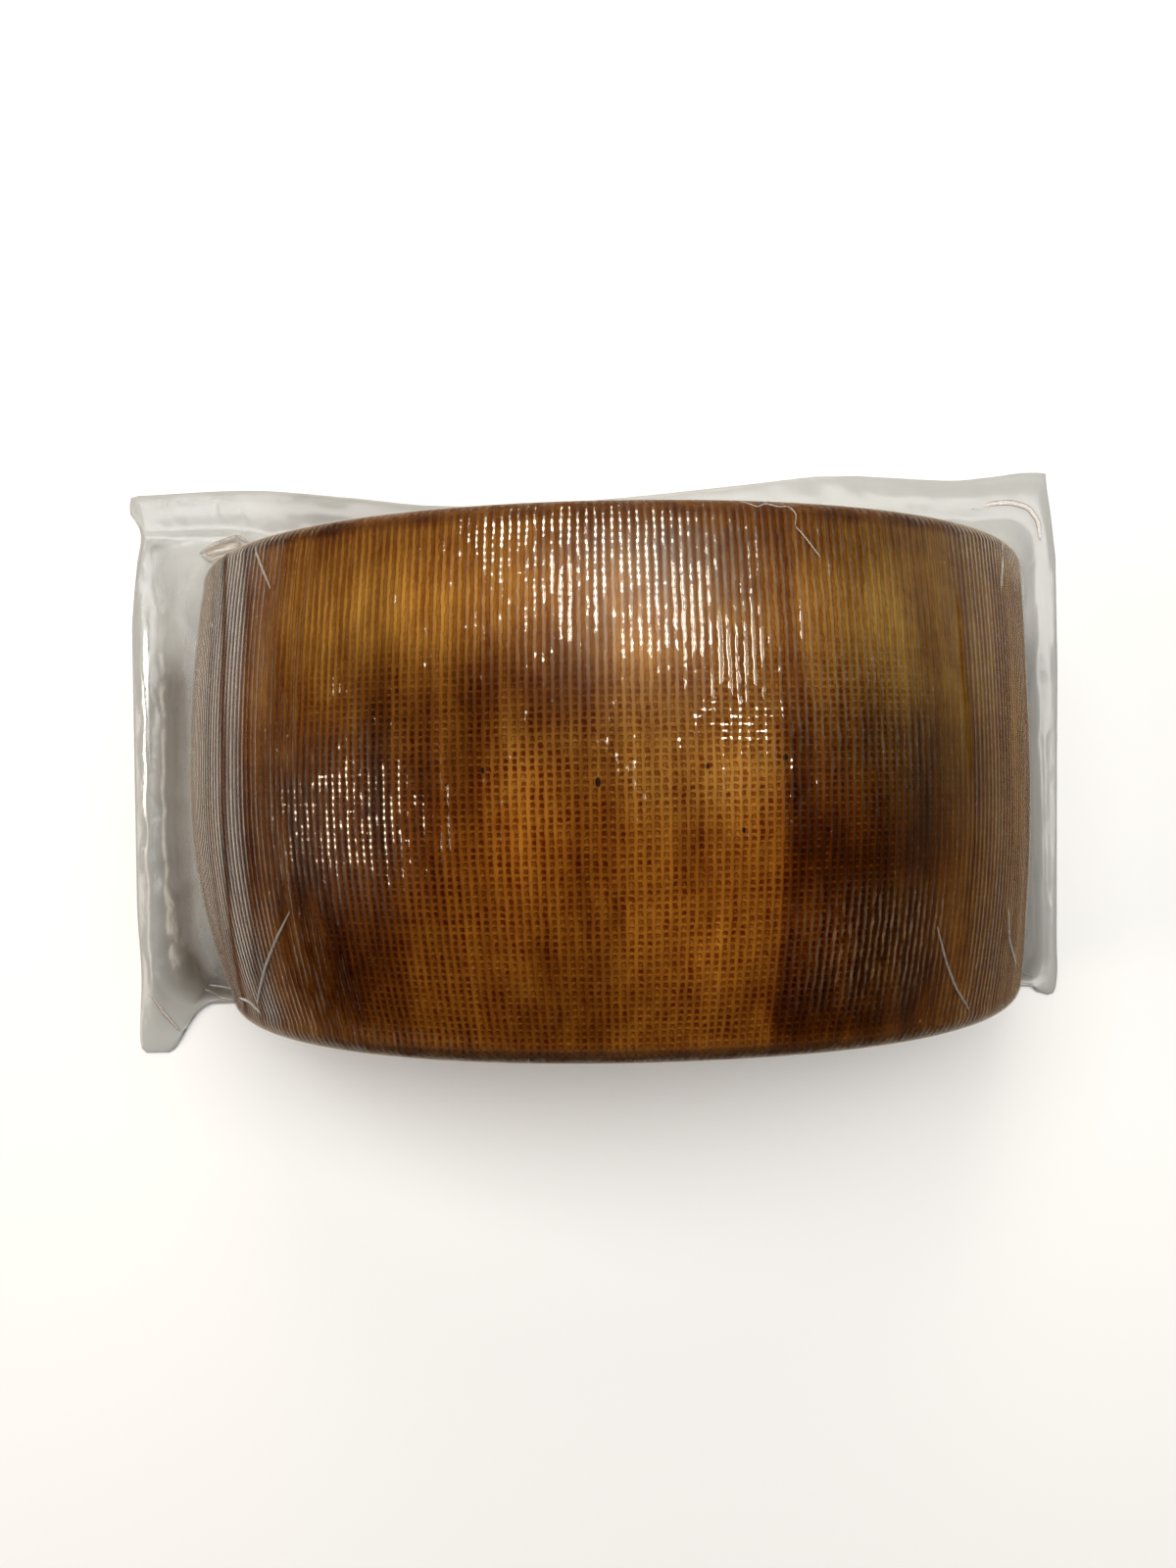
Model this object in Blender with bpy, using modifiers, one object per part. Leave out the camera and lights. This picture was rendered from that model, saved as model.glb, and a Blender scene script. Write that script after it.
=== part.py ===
"""Half a wheel of aged sheep cheese, lying on its cut face in a clear vacuum bag.

Metres, +Z up. The wheel's axis runs along Y, the cut face looks down and the ribbed rind looks up.
The origin is the centre of the bag's flat underside, straight below the middle of the wheel's axis.
Two solids: the cheese, with the cloth's ribs as relief in its rind, and the bag as it lies under and
round it: the back sheet, the flat border and the film's slope up to the rind. The film that clings
to the rind is far thinner than any solid here, so the cheese is measured over it.
"""

import math

import bmesh
import bpy
from mathutils import Vector

MM = 0.001

# Wheel, measured over the clinging film
WHEEL_RADIUS = 100.0 * MM
HALF_HEIGHT = 50.4 * MM
OVAL = 0.008  # wider across than high, as a share of the radius
SQUARING = 0.012  # slight shoulders between the crown and the cut
TOP_TAPER = 3.7 * MM  # how far the rind draws in from its belly to each rim
BOTTOM_TAPER = 8.2 * MM
RIGHT_TAPER_SHARE = 0.22  # the +X end is blunter: only this share of the taper is left there
TOP_ROUND = 4.0 * MM
BOTTOM_ROUND = 5.0 * MM

# Ribs that the moulding cloth pressed into the rind, along the wheel's axis
RIB_COUNT = 200
RIB_DEPTH = 0.4 * MM
TAPER_ROWS = 4
ROUND_ROWS = 2

# Bag
SHEET = 1.0 * MM
CLEARANCE = 0.3 * MM
BORDER_POINTS = 110
SLOPE_POINTS = 96
LOOP_STEPS = 16
CORNER_STEPS = 6
FOOT_MARGIN = 1.6 * MM
FOOT_RISE = 0.15 * MM
SLOPE_CURVE = 1.8  # over 1 the slope of film sags inwards
SLOPE_ROWS = 3
SPINE_SHARE = 0.55  # headings fan out from this share of the wheel's half width
POCKET_STEPS = 72
TUCK = 0.8 * MM  # how far the slope runs into the cheese before its pocket is cut

# Foot of the film's slope, as places on the flat border, and how high the film leaves the rind
FOOT_LEFT = -115.0 * MM
FOOT_RIGHT = 110.3 * MM
FOOT_BOTTOM = -54.0 * MM
FOOT_TOP = 66.0 * MM
FOOT_ROUND = 9.0 * MM
SIDE_HEIGHT = 25.0 * MM
TOP_HEIGHT = 17.0 * MM
BOTTOM_HEIGHT = 12.0 * MM

# Outline of the flat border, anticlockwise from the right side, with the drawn-in lower edge
# between two ears and the small tab at the upper left
BORDER_MM = (
    (113.6, -39), (114.4, 3), (115.3, 45), (114.5, 61), (113.0, 73.6),
    (111.6, 77.6), (98, 76.4), (88, 75.8), (69, 77.1), (58, 77.7),
    (34, 75.5), (4, 72.9), (-22, 71.6), (-44, 71.9), (-64, 74.2),
    (-89, 76.5), (-114.4, 75.8), (-119.6, 75.4), (-120.7, 72.4), (-117.5, 66.3),
    (-118.8, 57), (-120.3, 40), (-120.5, 17), (-120.3, -25), (-119.4, -46),
    (-119.7, -64.6), (-114.2, -66.3), (-110.4, -64), (-107.6, -57), (-101, -53.8),
    (-60, -55.4), (0, -56.4), (60, -55.2), (104, -53.2), (108.1, -54.5),
    (112.2, -55.2), (113.5, -49.8),
)  # fmt: skip

RIND_COLOUR = (0.27, 0.12, 0.035, 1.0)
FILM_COLOUR = (0.72, 0.72, 0.69, 1.0)


def section_radius(turn, grow=0.0):
    """The wheel's radius at an angle up from +X, before the taper."""
    shape = 1.0 + OVAL * math.cos(2.0 * turn) - SQUARING * math.cos(4.0 * turn)
    return WHEEL_RADIUS * shape + grow


def taper_at(turn, y):
    """How far the rind is drawn in at a place along the axis."""
    blunt = 1.0 - (1.0 - RIGHT_TAPER_SHARE) * max(math.cos(turn), 0.0) ** 2
    if y > 0.0:
        return TOP_TAPER * blunt * min(y / (HALF_HEIGHT - TOP_ROUND), 1.0) ** 2
    return BOTTOM_TAPER * blunt * min(-y / (HALF_HEIGHT - BOTTOM_ROUND), 1.0) ** 2


def wheel_profile(rows):
    """(inset, y) points from one pole to the other: face, round, side, round, face."""
    quarter = [math.pi / 2.0 * i / ROUND_ROWS for i in range(ROUND_ROWS + 1)]
    points = [(None, HALF_HEIGHT)]
    for angle in quarter:
        inset = TOP_ROUND * (1.0 - math.sin(angle))
        points.append((inset, HALF_HEIGHT - TOP_ROUND * (1.0 - math.cos(angle))))
    upper = HALF_HEIGHT - TOP_ROUND
    lower = BOTTOM_ROUND - HALF_HEIGHT
    for i in range(1, rows):
        points.append((0.0, upper + (lower - upper) * i / rows))
    for angle in reversed(quarter):
        inset = BOTTOM_ROUND * (1.0 - math.sin(angle))
        points.append((inset, BOTTOM_ROUND * (1.0 - math.cos(angle)) - HALF_HEIGHT))
    points.append((None, -HALF_HEIGHT))
    return points


def rib_share(y):
    """Ribs run out where the rind turns over on to the flat faces."""
    edge = TOP_ROUND if y > 0.0 else BOTTOM_ROUND
    return min(max((HALF_HEIGHT - abs(y)) / edge, 0.0), 1.0)


def half_wheel(name, steps, rows, grow=0.0, ribs=False):
    """The profile turned half a turn about Y, shaped to the uneven wheel and closed by its cut face."""
    profile = wheel_profile(rows)
    mesh = bpy.data.meshes.new(name)
    start = [(0.0 if inset is None else WHEEL_RADIUS - inset, y, 0.0) for inset, y in profile]
    mesh.from_pydata(start, [(i, i + 1) for i in range(len(start) - 1)], [])
    turned = bpy.data.objects.new(name, mesh)
    bpy.context.scene.collection.objects.link(turned)
    screw = turned.modifiers.new("half turn", "SCREW")
    screw.axis = "Y"
    screw.angle = -math.pi
    screw.steps = steps
    screw.render_steps = steps
    screw.use_merge_vertices = True
    screw.merge_threshold = 0.00001
    graph = bpy.context.evaluated_depsgraph_get()
    solid_mesh = bpy.data.meshes.new_from_object(turned.evaluated_get(graph))
    bpy.data.objects.remove(turned)

    body = bmesh.new()
    body.from_mesh(solid_mesh)
    for vert in body.verts:
        x, y, z = vert.co
        radius = math.hypot(x, z)
        if radius < MM:
            vert.co = (0.0, math.copysign(HALF_HEIGHT + grow, y), 0.0)
            continue
        turn = math.atan2(abs(z), x)
        inset = WHEEL_RADIUS - radius
        new = section_radius(turn, grow) - inset - taper_at(turn, y)
        if ribs and round(turn / math.pi * steps) % 2:
            new -= RIB_DEPTH * rib_share(y)
        stretch = 1.0 + grow / HALF_HEIGHT
        vert.co = (new * math.cos(turn), y * stretch, new * math.sin(turn))
    for vert in body.verts:
        if abs(vert.co.z) < 0.001 * MM:
            vert.co.z = 0.0
    rim = [edge for edge in body.edges if edge.is_boundary]
    bmesh.ops.contextual_create(body, geom=rim)
    bmesh.ops.recalc_face_normals(body, faces=body.faces)
    body.to_mesh(solid_mesh)
    body.free()
    solid_mesh.name = name
    return bpy.data.objects.new(name, solid_mesh)


def straight_loop(corners, count):
    """Evenly spaced points along a closed run of straight sides."""
    ends = corners[1:] + corners[:1]
    lengths = [math.dist(a, b) for a, b in zip(corners, ends)]
    even = []
    place, passed = 0, 0.0
    for i in range(count):
        target = sum(lengths) * i / count
        while passed + lengths[place] < target:
            passed += lengths[place]
            place += 1
        share = (target - passed) / lengths[place]
        a, b = corners[place], ends[place]
        even.append((a[0] + (b[0] - a[0]) * share, a[1] + (b[1] - a[1]) * share))
    return even


def smooth_loop(points, count):
    """Evenly spaced points on the closed Catmull-Rom curve through the given ones."""
    fine = []
    total = len(points)
    for i in range(total):
        before, here, after, later = (Vector(points[(i + k) % total]) for k in (-1, 0, 1, 2))
        for step in range(LOOP_STEPS):
            t = step / LOOP_STEPS
            bend = 2 * before - 5 * here + 4 * after - later
            twist = 3 * here - before - 3 * after + later
            fine.append(here + 0.5 * ((after - before) * t + bend * t**2 + twist * t**3))
    return straight_loop(fine, count)


def inside_wheel(x, y, z):
    """Whether a point above the cut lies inside the smooth wheel."""
    if abs(y) >= HALF_HEIGHT:
        return False
    turn = math.atan2(z, x)
    edge = TOP_ROUND if y > 0.0 else BOTTOM_ROUND
    past = max(abs(y) - (HALF_HEIGHT - edge), 0.0)
    inset = edge - math.sqrt(edge * edge - past * past)
    return math.hypot(x, z) < section_radius(turn) - inset - taper_at(turn, y)


def reach_of_wheel(start, heading, z):
    """How far the wheel reaches from a point on its spine, along a level heading at height z."""
    near, far = 0.0, 2.0 * WHEEL_RADIUS
    for _ in range(40):
        middle = 0.5 * (near + far)
        x = start + heading[0] * middle
        y = heading[1] * middle
        if inside_wheel(x, y, z):
            near = middle
        else:
            far = middle
    return near


def slope_height(heading):
    """How high the film leaves the rind, blended between the sides."""
    across = heading[0] ** 2
    along = TOP_HEIGHT if heading[1] > 0.0 else BOTTOM_HEIGHT
    return SIDE_HEIGHT * across + along * (1.0 - across)


def rounded_box(left, right, bottom, top, radius):
    """A box's outline anticlockwise, with each corner an arc."""
    centres = (
        (right - radius, top - radius), (left + radius, top - radius),
        (left + radius, bottom + radius), (right - radius, bottom + radius),
    )  # fmt: skip
    points = []
    for quarter, (x, y) in enumerate(centres):
        for step in range(CORNER_STEPS + 1):
            turn = math.pi / 2.0 * (quarter + step / CORNER_STEPS)
            points.append((x + radius * math.cos(turn), y + radius * math.sin(turn)))
    return points


def border_loop():
    return smooth_loop([(x * MM, y * MM) for x, y in BORDER_MM], BORDER_POINTS)


def reach_of_border(border, start, heading):
    """How far the border reaches from a point on the wheel's spine, along a level heading."""
    nearest = math.inf
    for (ax, ay), (bx, by) in zip(border, border[1:] + border[:1]):
        side_x, side_y = bx - ax, by - ay
        cross = heading[0] * side_y - heading[1] * side_x
        if abs(cross) < 1e-12:
            continue
        reach = ((ax - start) * side_y - ay * side_x) / cross
        share = ((ax - start) * heading[1] - ay * heading[0]) / cross
        if reach > 0.0 and 0.0 <= share <= 1.0:
            nearest = min(nearest, reach)
    return nearest


def slope_rings():
    """Rings of points from inside the sheet up the slope of film and on into the cheese."""
    border = border_loop()
    foot = rounded_box(FOOT_LEFT, FOOT_RIGHT, FOOT_BOTTOM, FOOT_TOP, FOOT_ROUND)
    rings = [[] for _ in range(SLOPE_ROWS + 2)]
    for x, y in straight_loop(foot, SLOPE_POINTS):
        start = SPINE_SHARE * x
        length = math.hypot(x - start, y)
        heading = ((x - start) / length, y / length)
        height = slope_height(heading)
        low = min(length, reach_of_border(border, start, heading) - FOOT_MARGIN)
        high = reach_of_wheel(start, heading, height) - TUCK
        rings[0].append((start + heading[0] * low, heading[1] * low, 0.5 * SHEET))
        for row in range(SLOPE_ROWS + 1):
            share = row / SLOPE_ROWS
            reach = low + (high - low) * share
            rise = (height - SHEET) * share**SLOPE_CURVE + FOOT_RISE
            place = (start + heading[0] * reach, heading[1] * reach, SHEET + rise)
            rings[row + 1].append(place)
    return rings


def border_sheet():
    """The bag's two films where they lie flat, as one sheet of the border's outline."""
    curve = bpy.data.curves.new("border", "CURVE")
    curve.dimensions = "2D"
    curve.fill_mode = "BOTH"
    curve.extrude = 0.5 * SHEET
    outline = curve.splines.new("POLY")
    loop = border_loop()
    outline.points.add(len(loop) - 1)
    for point, (x, y) in zip(outline.points, loop):
        point.co = (x, y, 0.0, 1.0)
    outline.use_cyclic_u = True
    flat = bpy.data.objects.new("border", curve)
    bpy.context.scene.collection.objects.link(flat)
    flat.location.z = 0.5 * SHEET
    graph = bpy.context.evaluated_depsgraph_get()
    mesh = bpy.data.meshes.new_from_object(flat.evaluated_get(graph))
    body = bmesh.new()
    body.from_mesh(mesh)
    bmesh.ops.remove_doubles(body, verts=body.verts, dist=0.00001)
    bmesh.ops.recalc_face_normals(body, faces=body.faces)
    body.to_mesh(mesh)
    body.free()
    mesh.name = "bag"
    sheet = bpy.data.objects.new("bag", mesh)
    sheet.matrix_world = flat.matrix_world
    bpy.data.objects.remove(flat)
    return sheet


def loft(name, rings):
    """Closed loops of equal point count, joined by quads and capped at both ends."""
    body = bmesh.new()
    loops = [[body.verts.new(point) for point in ring] for ring in rings]
    count = len(rings[0])
    for lower, upper in zip(loops, loops[1:]):
        for i in range(count):
            after = (i + 1) % count
            body.faces.new((lower[i], lower[after], upper[after], upper[i]))
    body.faces.new(list(reversed(loops[0])))
    lid = body.faces.new(loops[-1])
    bmesh.ops.triangulate(body, faces=[lid])
    bmesh.ops.recalc_face_normals(body, faces=body.faces)
    mesh = bpy.data.meshes.new(name)
    body.to_mesh(mesh)
    body.free()
    return bpy.data.objects.new(name, mesh)


def material(name, colour, roughness):
    made = bpy.data.materials.new(name)
    made.use_nodes = True
    shader = made.node_tree.nodes["Principled BSDF"]
    shader.inputs["Base Color"].default_value = colour
    shader.inputs["Roughness"].default_value = roughness
    shader.inputs["Metallic"].default_value = 0.0
    return made


def make_cheese(parts):
    cheese = half_wheel("cheese", 2 * RIB_COUNT, TAPER_ROWS, ribs=True)
    cheese.location.z = SHEET + CLEARANCE
    cheese.data.materials.clear()
    cheese.data.materials.append(material("rind", RIND_COLOUR, 0.35))
    parts.objects.link(cheese)
    cheese.data.shade_smooth()
    cheese.data.set_sharp_from_angle(angle=math.radians(30.0))
    return cheese


def helper(obj, cutters):
    obj.hide_render = True
    obj.display_type = "WIRE"
    cutters.objects.link(obj)
    return obj


def make_bag(parts, cutters):
    bag = border_sheet()
    bag.data.materials.clear()
    bag.data.materials.append(material("film", FILM_COLOUR, 0.15))
    parts.objects.link(bag)
    join = bag.modifiers.new("slope of film", "BOOLEAN")
    join.operation = "UNION"
    join.object = helper(loft("slope", slope_rings()), cutters)
    pocket = helper(half_wheel("pocket", POCKET_STEPS, 2 * TAPER_ROWS, grow=CLEARANCE), cutters)
    pocket.location.z = SHEET
    cut = bag.modifiers.new("pocket for the cheese", "BOOLEAN")
    cut.operation = "DIFFERENCE"
    cut.object = pocket
    return bag


def main():
    for obj in list(bpy.data.objects):
        bpy.data.objects.remove(obj)
    parts = bpy.data.collections.new("aged_sheep_cheese")
    cutters = bpy.data.collections.new("cutters")
    for collection in (parts, cutters):
        bpy.context.scene.collection.children.link(collection)
    make_cheese(parts)
    make_bag(parts, cutters)


main()
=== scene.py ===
"""Half a wheel of aged sheep cheese in a clear vacuum bag: its rind, cut face, film and stage.

Metres, +Z up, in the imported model's frame: the wheel's axis runs along Y and the cut face looks down.
"""

import math

import bmesh
import bpy
import numpy as np
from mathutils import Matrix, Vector
from mathutils.bvhtree import BVHTree


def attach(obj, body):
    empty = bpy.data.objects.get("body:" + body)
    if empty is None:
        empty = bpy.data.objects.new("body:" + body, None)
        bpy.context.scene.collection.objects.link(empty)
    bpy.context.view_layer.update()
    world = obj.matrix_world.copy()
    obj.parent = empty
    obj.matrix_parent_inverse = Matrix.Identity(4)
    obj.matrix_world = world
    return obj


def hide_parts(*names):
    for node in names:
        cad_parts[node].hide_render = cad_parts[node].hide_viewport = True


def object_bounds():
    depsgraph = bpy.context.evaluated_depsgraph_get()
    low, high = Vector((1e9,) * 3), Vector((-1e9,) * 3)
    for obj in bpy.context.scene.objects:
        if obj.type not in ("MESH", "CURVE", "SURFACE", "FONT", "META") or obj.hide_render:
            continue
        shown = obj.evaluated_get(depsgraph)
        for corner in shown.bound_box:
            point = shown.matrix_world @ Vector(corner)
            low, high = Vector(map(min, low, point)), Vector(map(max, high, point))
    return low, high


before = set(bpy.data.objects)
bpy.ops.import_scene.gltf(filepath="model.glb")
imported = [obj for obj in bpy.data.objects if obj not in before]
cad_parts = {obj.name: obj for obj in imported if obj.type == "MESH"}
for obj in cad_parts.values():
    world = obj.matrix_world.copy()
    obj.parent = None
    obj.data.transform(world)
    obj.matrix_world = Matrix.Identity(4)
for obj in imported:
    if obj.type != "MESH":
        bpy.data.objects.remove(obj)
CAD_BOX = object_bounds()

bl_info = {
    "name": "Aged sheep cheese in a vacuum bag",
    "version": (1, 0, 0),
    "blender": (4, 5, 0),
    "location": "3D View > Sidebar > Cheese",
    "description": "Builds half a wheel of aged sheep cheese with its rind, cut face and clear film",
    "category": "Add Mesh",
}

MM = 0.001

# Wheel, measured over the clinging film, as in the solid
OVAL = 0.008
SQUARING = 0.012
TOP_TAPER = 3.7 * MM
BOTTOM_TAPER = 8.2 * MM
RIGHT_TAPER_SHARE = 0.22
TOP_ROUND = 4.0 * MM
BOTTOM_ROUND = 5.0 * MM
SHEET = 1.0 * MM
CLEARANCE = 0.3 * MM
CUT_HEIGHT = SHEET + CLEARANCE

# Foot of the film's slope and the height at which the film leaves the rind
FOOT_LEFT = -115.0 * MM
FOOT_RIGHT = 110.3 * MM
FOOT_BOTTOM = -54.0 * MM
FOOT_TOP = 66.0 * MM
FOOT_ROUND = 9.0 * MM
FOOT_MARGIN = 1.6 * MM
BORDER_MARGIN = 0.3 * MM
SPINE_SHARE = 0.55
SLOPE_CURVE = 1.8
SIDE_HEIGHT = 25.0 * MM
TOP_HEIGHT = 17.0 * MM
BOTTOM_HEIGHT = 12.0 * MM

# Outline of the flat border in millimetres, anticlockwise from the right side
BORDER_MM = (
    (113.6, -39), (114.4, 3), (115.3, 45), (114.5, 61), (113.0, 73.6),
    (111.6, 77.6), (98, 76.4), (88, 75.8), (69, 77.1), (58, 77.7),
    (34, 75.5), (4, 72.9), (-22, 71.6), (-44, 71.9), (-64, 74.2),
    (-89, 76.5), (-114.4, 75.8), (-119.6, 75.4), (-120.7, 72.4), (-117.5, 66.3),
    (-118.8, 57), (-120.3, 40), (-120.5, 17), (-120.3, -25), (-119.4, -46),
    (-119.7, -64.6), (-114.2, -66.3), (-110.4, -64), (-107.6, -57), (-101, -53.8),
    (-60, -55.4), (0, -56.4), (60, -55.2), (104, -53.2), (108.1, -54.5),
    (112.2, -55.2), (113.5, -49.8),
)  # fmt: skip

# Places on the foot of the slope and on the border's edge that lie straight across from each other
FOOT_TO_BORDER_MM = (
    ((110.3, -44), (113.55, -44)), ((110.3, 57), (114.7, 57)),
    ((101, 66), (99, 76.4)), ((-106, 66), (-108, 76.0)),
    ((-115, 57), (-118.8, 57)), ((-115, -44), (-119.45, -44)),
    ((-97, -54), (-99, -53.8)), ((102, -54), (103, -53.3)),
)  # fmt: skip


def length(name, description, value):
    return bpy.props.FloatProperty(
        name=name, description=description, default=value, subtype="DISTANCE", unit="LENGTH"
    )


def factor(name, description, value):
    return bpy.props.FloatProperty(
        name=name, description=description, default=value, min=0.0, max=1.0, subtype="FACTOR"
    )


def colour(name, description, value):
    return bpy.props.FloatVectorProperty(
        name=name, description=description, default=value, size=3, subtype="COLOR"
    )


class CheeseSizes(bpy.types.PropertyGroup):
    """Sizes of the wheel and of the cloth's pattern in its rind."""

    wheel_radius: length("Wheel radius", "Radius of the wheel, over its film", 100.0 * MM)
    half_height: length(
        "Half height", "Half the wheel's height along its axis, over its film", 50.4 * MM
    )
    rib_count: bpy.props.IntProperty(
        name="Ribs", description="Number of cloth ribs round the half wheel", default=200
    )
    rib_depth: length("Rib depth", "How deep the cloth's ribs are pressed into the rind", 0.34 * MM)
    row_pitch: length("Row pitch", "Distance between the cloth's cross threads", 1.28 * MM)
    film_gap: length(
        "Film over crests", "How far the film's outside stands over the rind's crests", 0.22 * MM
    )


class RindLook(bpy.types.PropertyGroup):
    """Colours and finish of the rind and of the paste."""

    straw: colour("Straw", "Palest rind", (0.46, 0.222, 0.040))
    gold: colour("Gold", "Golden rind", (0.32, 0.147, 0.025))
    amber: colour("Amber", "Amber rind", (0.215, 0.088, 0.013))
    chestnut: colour("Chestnut", "Brown rind", (0.138, 0.047, 0.0055))
    brown: colour("Dark brown", "Dark rind", (0.082, 0.0232, 0.0022))
    umber: colour("Umber", "Darkest rind", (0.038, 0.0095, 0.001))
    paste: colour("Paste", "Inside of the cheese", (0.74, 0.60, 0.36))
    roughness: factor("Roughness", "Roughness of the rind under the film", 0.5)


class FilmLook(bpy.types.PropertyGroup):
    """Finish of the clear film."""

    milk: colour("Milk", "Colour of the light the loose film scatters", (0.52, 0.52, 0.49))
    # Warm, cool and dusky milk colour the clinging film's milk, which is mostly painted sheen
    warm_milk: colour(
        "Warm milk", "Colour of the light the clinging film scatters", (0.62, 0.51, 0.39)
    )
    cool_milk: colour(
        "Cool milk", "Colour of the light the film scatters on the flanks", (0.60, 0.59, 0.56)
    )
    dusky_milk: colour(
        "Dusky milk", "Colour of the light the film scatters low on the right", (0.62, 0.43, 0.26)
    )
    # Painted shade where the film slopes down beside the rind, browned as a painted reflection of the
    # rind
    deep: colour("Deep", "Colour where the film leans against the rind", (0.085, 0.069, 0.051))
    gloss: colour("Gloss", "Colour of the light the clinging film mirrors", (1.0, 0.87, 0.70))
    border_haze: factor("Border haze", "How milky the loose border is", 0.55)
    roughness: factor("Roughness", "Roughness of the film's shine on the rind", 0.24)
    crest_shine: factor(
        "Crest shine", "How much of the light the taut film over a crest mirrors", 0.46
    )
    loose_roughness: factor("Loose roughness", "Roughness of the loose film's shine", 0.26)


def sizes():
    """The scene's own sizes of the wheel."""
    return bpy.context.scene.cheese_sizes


# ---------------------------------------------------------------- materials


# A Mix node's sockets for colours
MIX_SHARE = 0
MIX_FIRST = 6
MIX_SECOND = 7

# Tints of the rind: in its pits and grooves, where it is oily, where it is olive, and its specks
PIT_TINT = (0.40, 0.135, 0.008)
OIL_TINT = (1.0, 0.80, 0.46)
OLIVE_TINT = (0.70, 1.0, 1.02)
SPECK_COLOUR = (0.006, 0.004, 0.003)
RIND_RELIEF = 0.32 * MM

# Tints of the paste: its pale clouds, its edge under the rind, and the painted shade in its torn eyes
PALE_PASTE = (0.80, 0.69, 0.46)
PASTE_EDGE = (0.47, 0.30, 0.10)
PAINTED_EYE_SHADE = (0.33, 0.22, 0.09)
PASTE_RELIEF = 0.4 * MM

# Film: the light it lets through, the milk of its creases, and the relief in its shine
CLEAR_FILM = (0.985, 0.985, 0.98)
CREASE_MILK = (0.62, 0.52, 0.42)
CLINGING_RELIEF = 0.12 * MM
LOOSE_RELIEF = 0.5 * MM
CREASE_RELIEF = 0.1 * MM
FILM_IOR = 1.5
CREASE_SHINE = 0.015


class Value:
    """A material's number or colour at a socket. Its operators add Math nodes."""

    def __init__(self, finish, socket):
        self.finish = finish
        self.socket = socket

    def maths(self, operation, *values):
        made = self.finish.node("ShaderNodeMath", {"operation": operation}, dict(enumerate(values)))
        return made["Value"]

    def __add__(self, other):
        return self.maths("ADD", self, other)

    def __radd__(self, other):
        return self.maths("ADD", other, self)

    def __sub__(self, other):
        return self.maths("SUBTRACT", self, other)

    def __rsub__(self, other):
        return self.maths("SUBTRACT", other, self)

    def __mul__(self, other):
        return self.maths("MULTIPLY", self, other)

    def __rmul__(self, other):
        return self.maths("MULTIPLY", other, self)

    def __truediv__(self, other):
        return self.maths("DIVIDE", self, other)

    def at_least(self, other):
        return self.maths("MAXIMUM", self, other)

    def wave(self):
        """1 at whole numbers and 0 halfway between them, along a cosine."""
        return self.maths("COSINE", self * (2.0 * math.pi)) * 0.5 + 0.5

    def rise(self, low, high):
        """0 below low and 1 above high, eased between them."""
        made = self.finish.node(
            "ShaderNodeMapRange",
            {"interpolation_type": "SMOOTHSTEP"},
            {"Value": self, "From Min": low, "From Max": high},
        )
        return made["Result"]


class Finish:
    """A material while it is made. Every node comes from node()."""

    def __init__(self, name):
        self.material = bpy.data.materials.new(name)
        self.material.use_nodes = True
        self.tree = self.material.node_tree
        self.tree.nodes.clear()

    def node(self, kind, settings=None, values=None):
        """A node of a kind: its settings first, then the values or links of its sockets.

        Returns its outputs by name. The setting "stops" fills a colour ramp.
        """
        made = self.tree.nodes.new(kind)
        for name, setting in (settings or {}).items():
            if name == "stops":
                ramp = made.color_ramp
                for place, colour in setting[1:-1]:
                    ramp.elements.new(place)
                for element, (place, colour) in zip(ramp.elements, setting):
                    element.position = place
                    element.color = (*colour, 1.0)
            else:
                setattr(made, name, setting)
        for name, value in (values or {}).items():
            socket = made.inputs[name]
            if isinstance(value, Value):
                self.tree.links.new(value.socket, socket)
            elif hasattr(socket.default_value, "__len__") and len(socket.default_value) == 4:
                socket.default_value = (*value, 1.0)[:4]
            else:
                socket.default_value = value
        return {output.name: Value(self, output) for output in made.outputs if output.enabled}

    def attribute(self, name):
        return self.node("ShaderNodeAttribute", {"attribute_name": name})

    def field(self, name):
        """A number that the surface carries at every point."""
        return self.attribute(name)["Fac"]

    def split(self, vector):
        made = self.node("ShaderNodeSeparateXYZ", None, {"Vector": vector})
        return made["X"], made["Y"], made["Z"]

    def place(self):
        return self.node("ShaderNodeTexCoord")["Object"]

    def noise(self, vector, scale, detail=2.0, roughness=0.5):
        """Soft noise from 0 to 1. Three scales stretch it along X, Y and Z."""
        if isinstance(scale, tuple):
            vector = self.node("ShaderNodeMapping", None, {"Vector": vector, "Scale": scale})["Vector"]
            scale = 1.0
        values = {"Vector": vector, "Scale": scale, "Detail": detail, "Roughness": roughness}
        return self.node("ShaderNodeTexNoise", None, values)["Fac"]

    def blend(self, share, first, second, how="MIX"):
        """Two colours mixed. The sockets go by number, because their names are used twice."""
        settings = {"data_type": "RGBA", "blend_type": how, "clamp_factor": True}
        values = {MIX_SHARE: share, MIX_FIRST: first, MIX_SECOND: second}
        return self.node("ShaderNodeMix", settings, values)["Result"]

    def bump(self, height, depth):
        """Relief of a height from 0 to 1, its depth in metres."""
        values = {"Height": height, "Distance": depth, "Strength": 1.0}
        return self.node("ShaderNodeBump", None, values)["Normal"]

    def solid(self, colour, roughness, specular, normal=None):
        """A shader of an opaque surface."""
        values = {"Base Color": colour, "Roughness": roughness, "Specular IOR Level": specular}
        if normal is not None:
            values["Normal"] = normal
        return self.node("ShaderNodeBsdfPrincipled", None, values)["BSDF"]

    def finish(self, shader):
        self.node("ShaderNodeOutputMaterial", None, {"Surface": shader})
        return self.material


# Black specks: angle from the crown, place along the axis in millimetres, half width, half length
SPECKS = (
    (-13.6, 3.0, 0.34, 0.55), (-1.9, 0.6, 0.48, 0.85), (9.2, 3.0, 0.36, 0.5),
    (12.9, -8.1, 0.38, 0.5), (17.4, 4.3, 0.55, 0.5), (32.5, -1.3, 0.4, 0.45),
)  # fmt: skip


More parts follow.
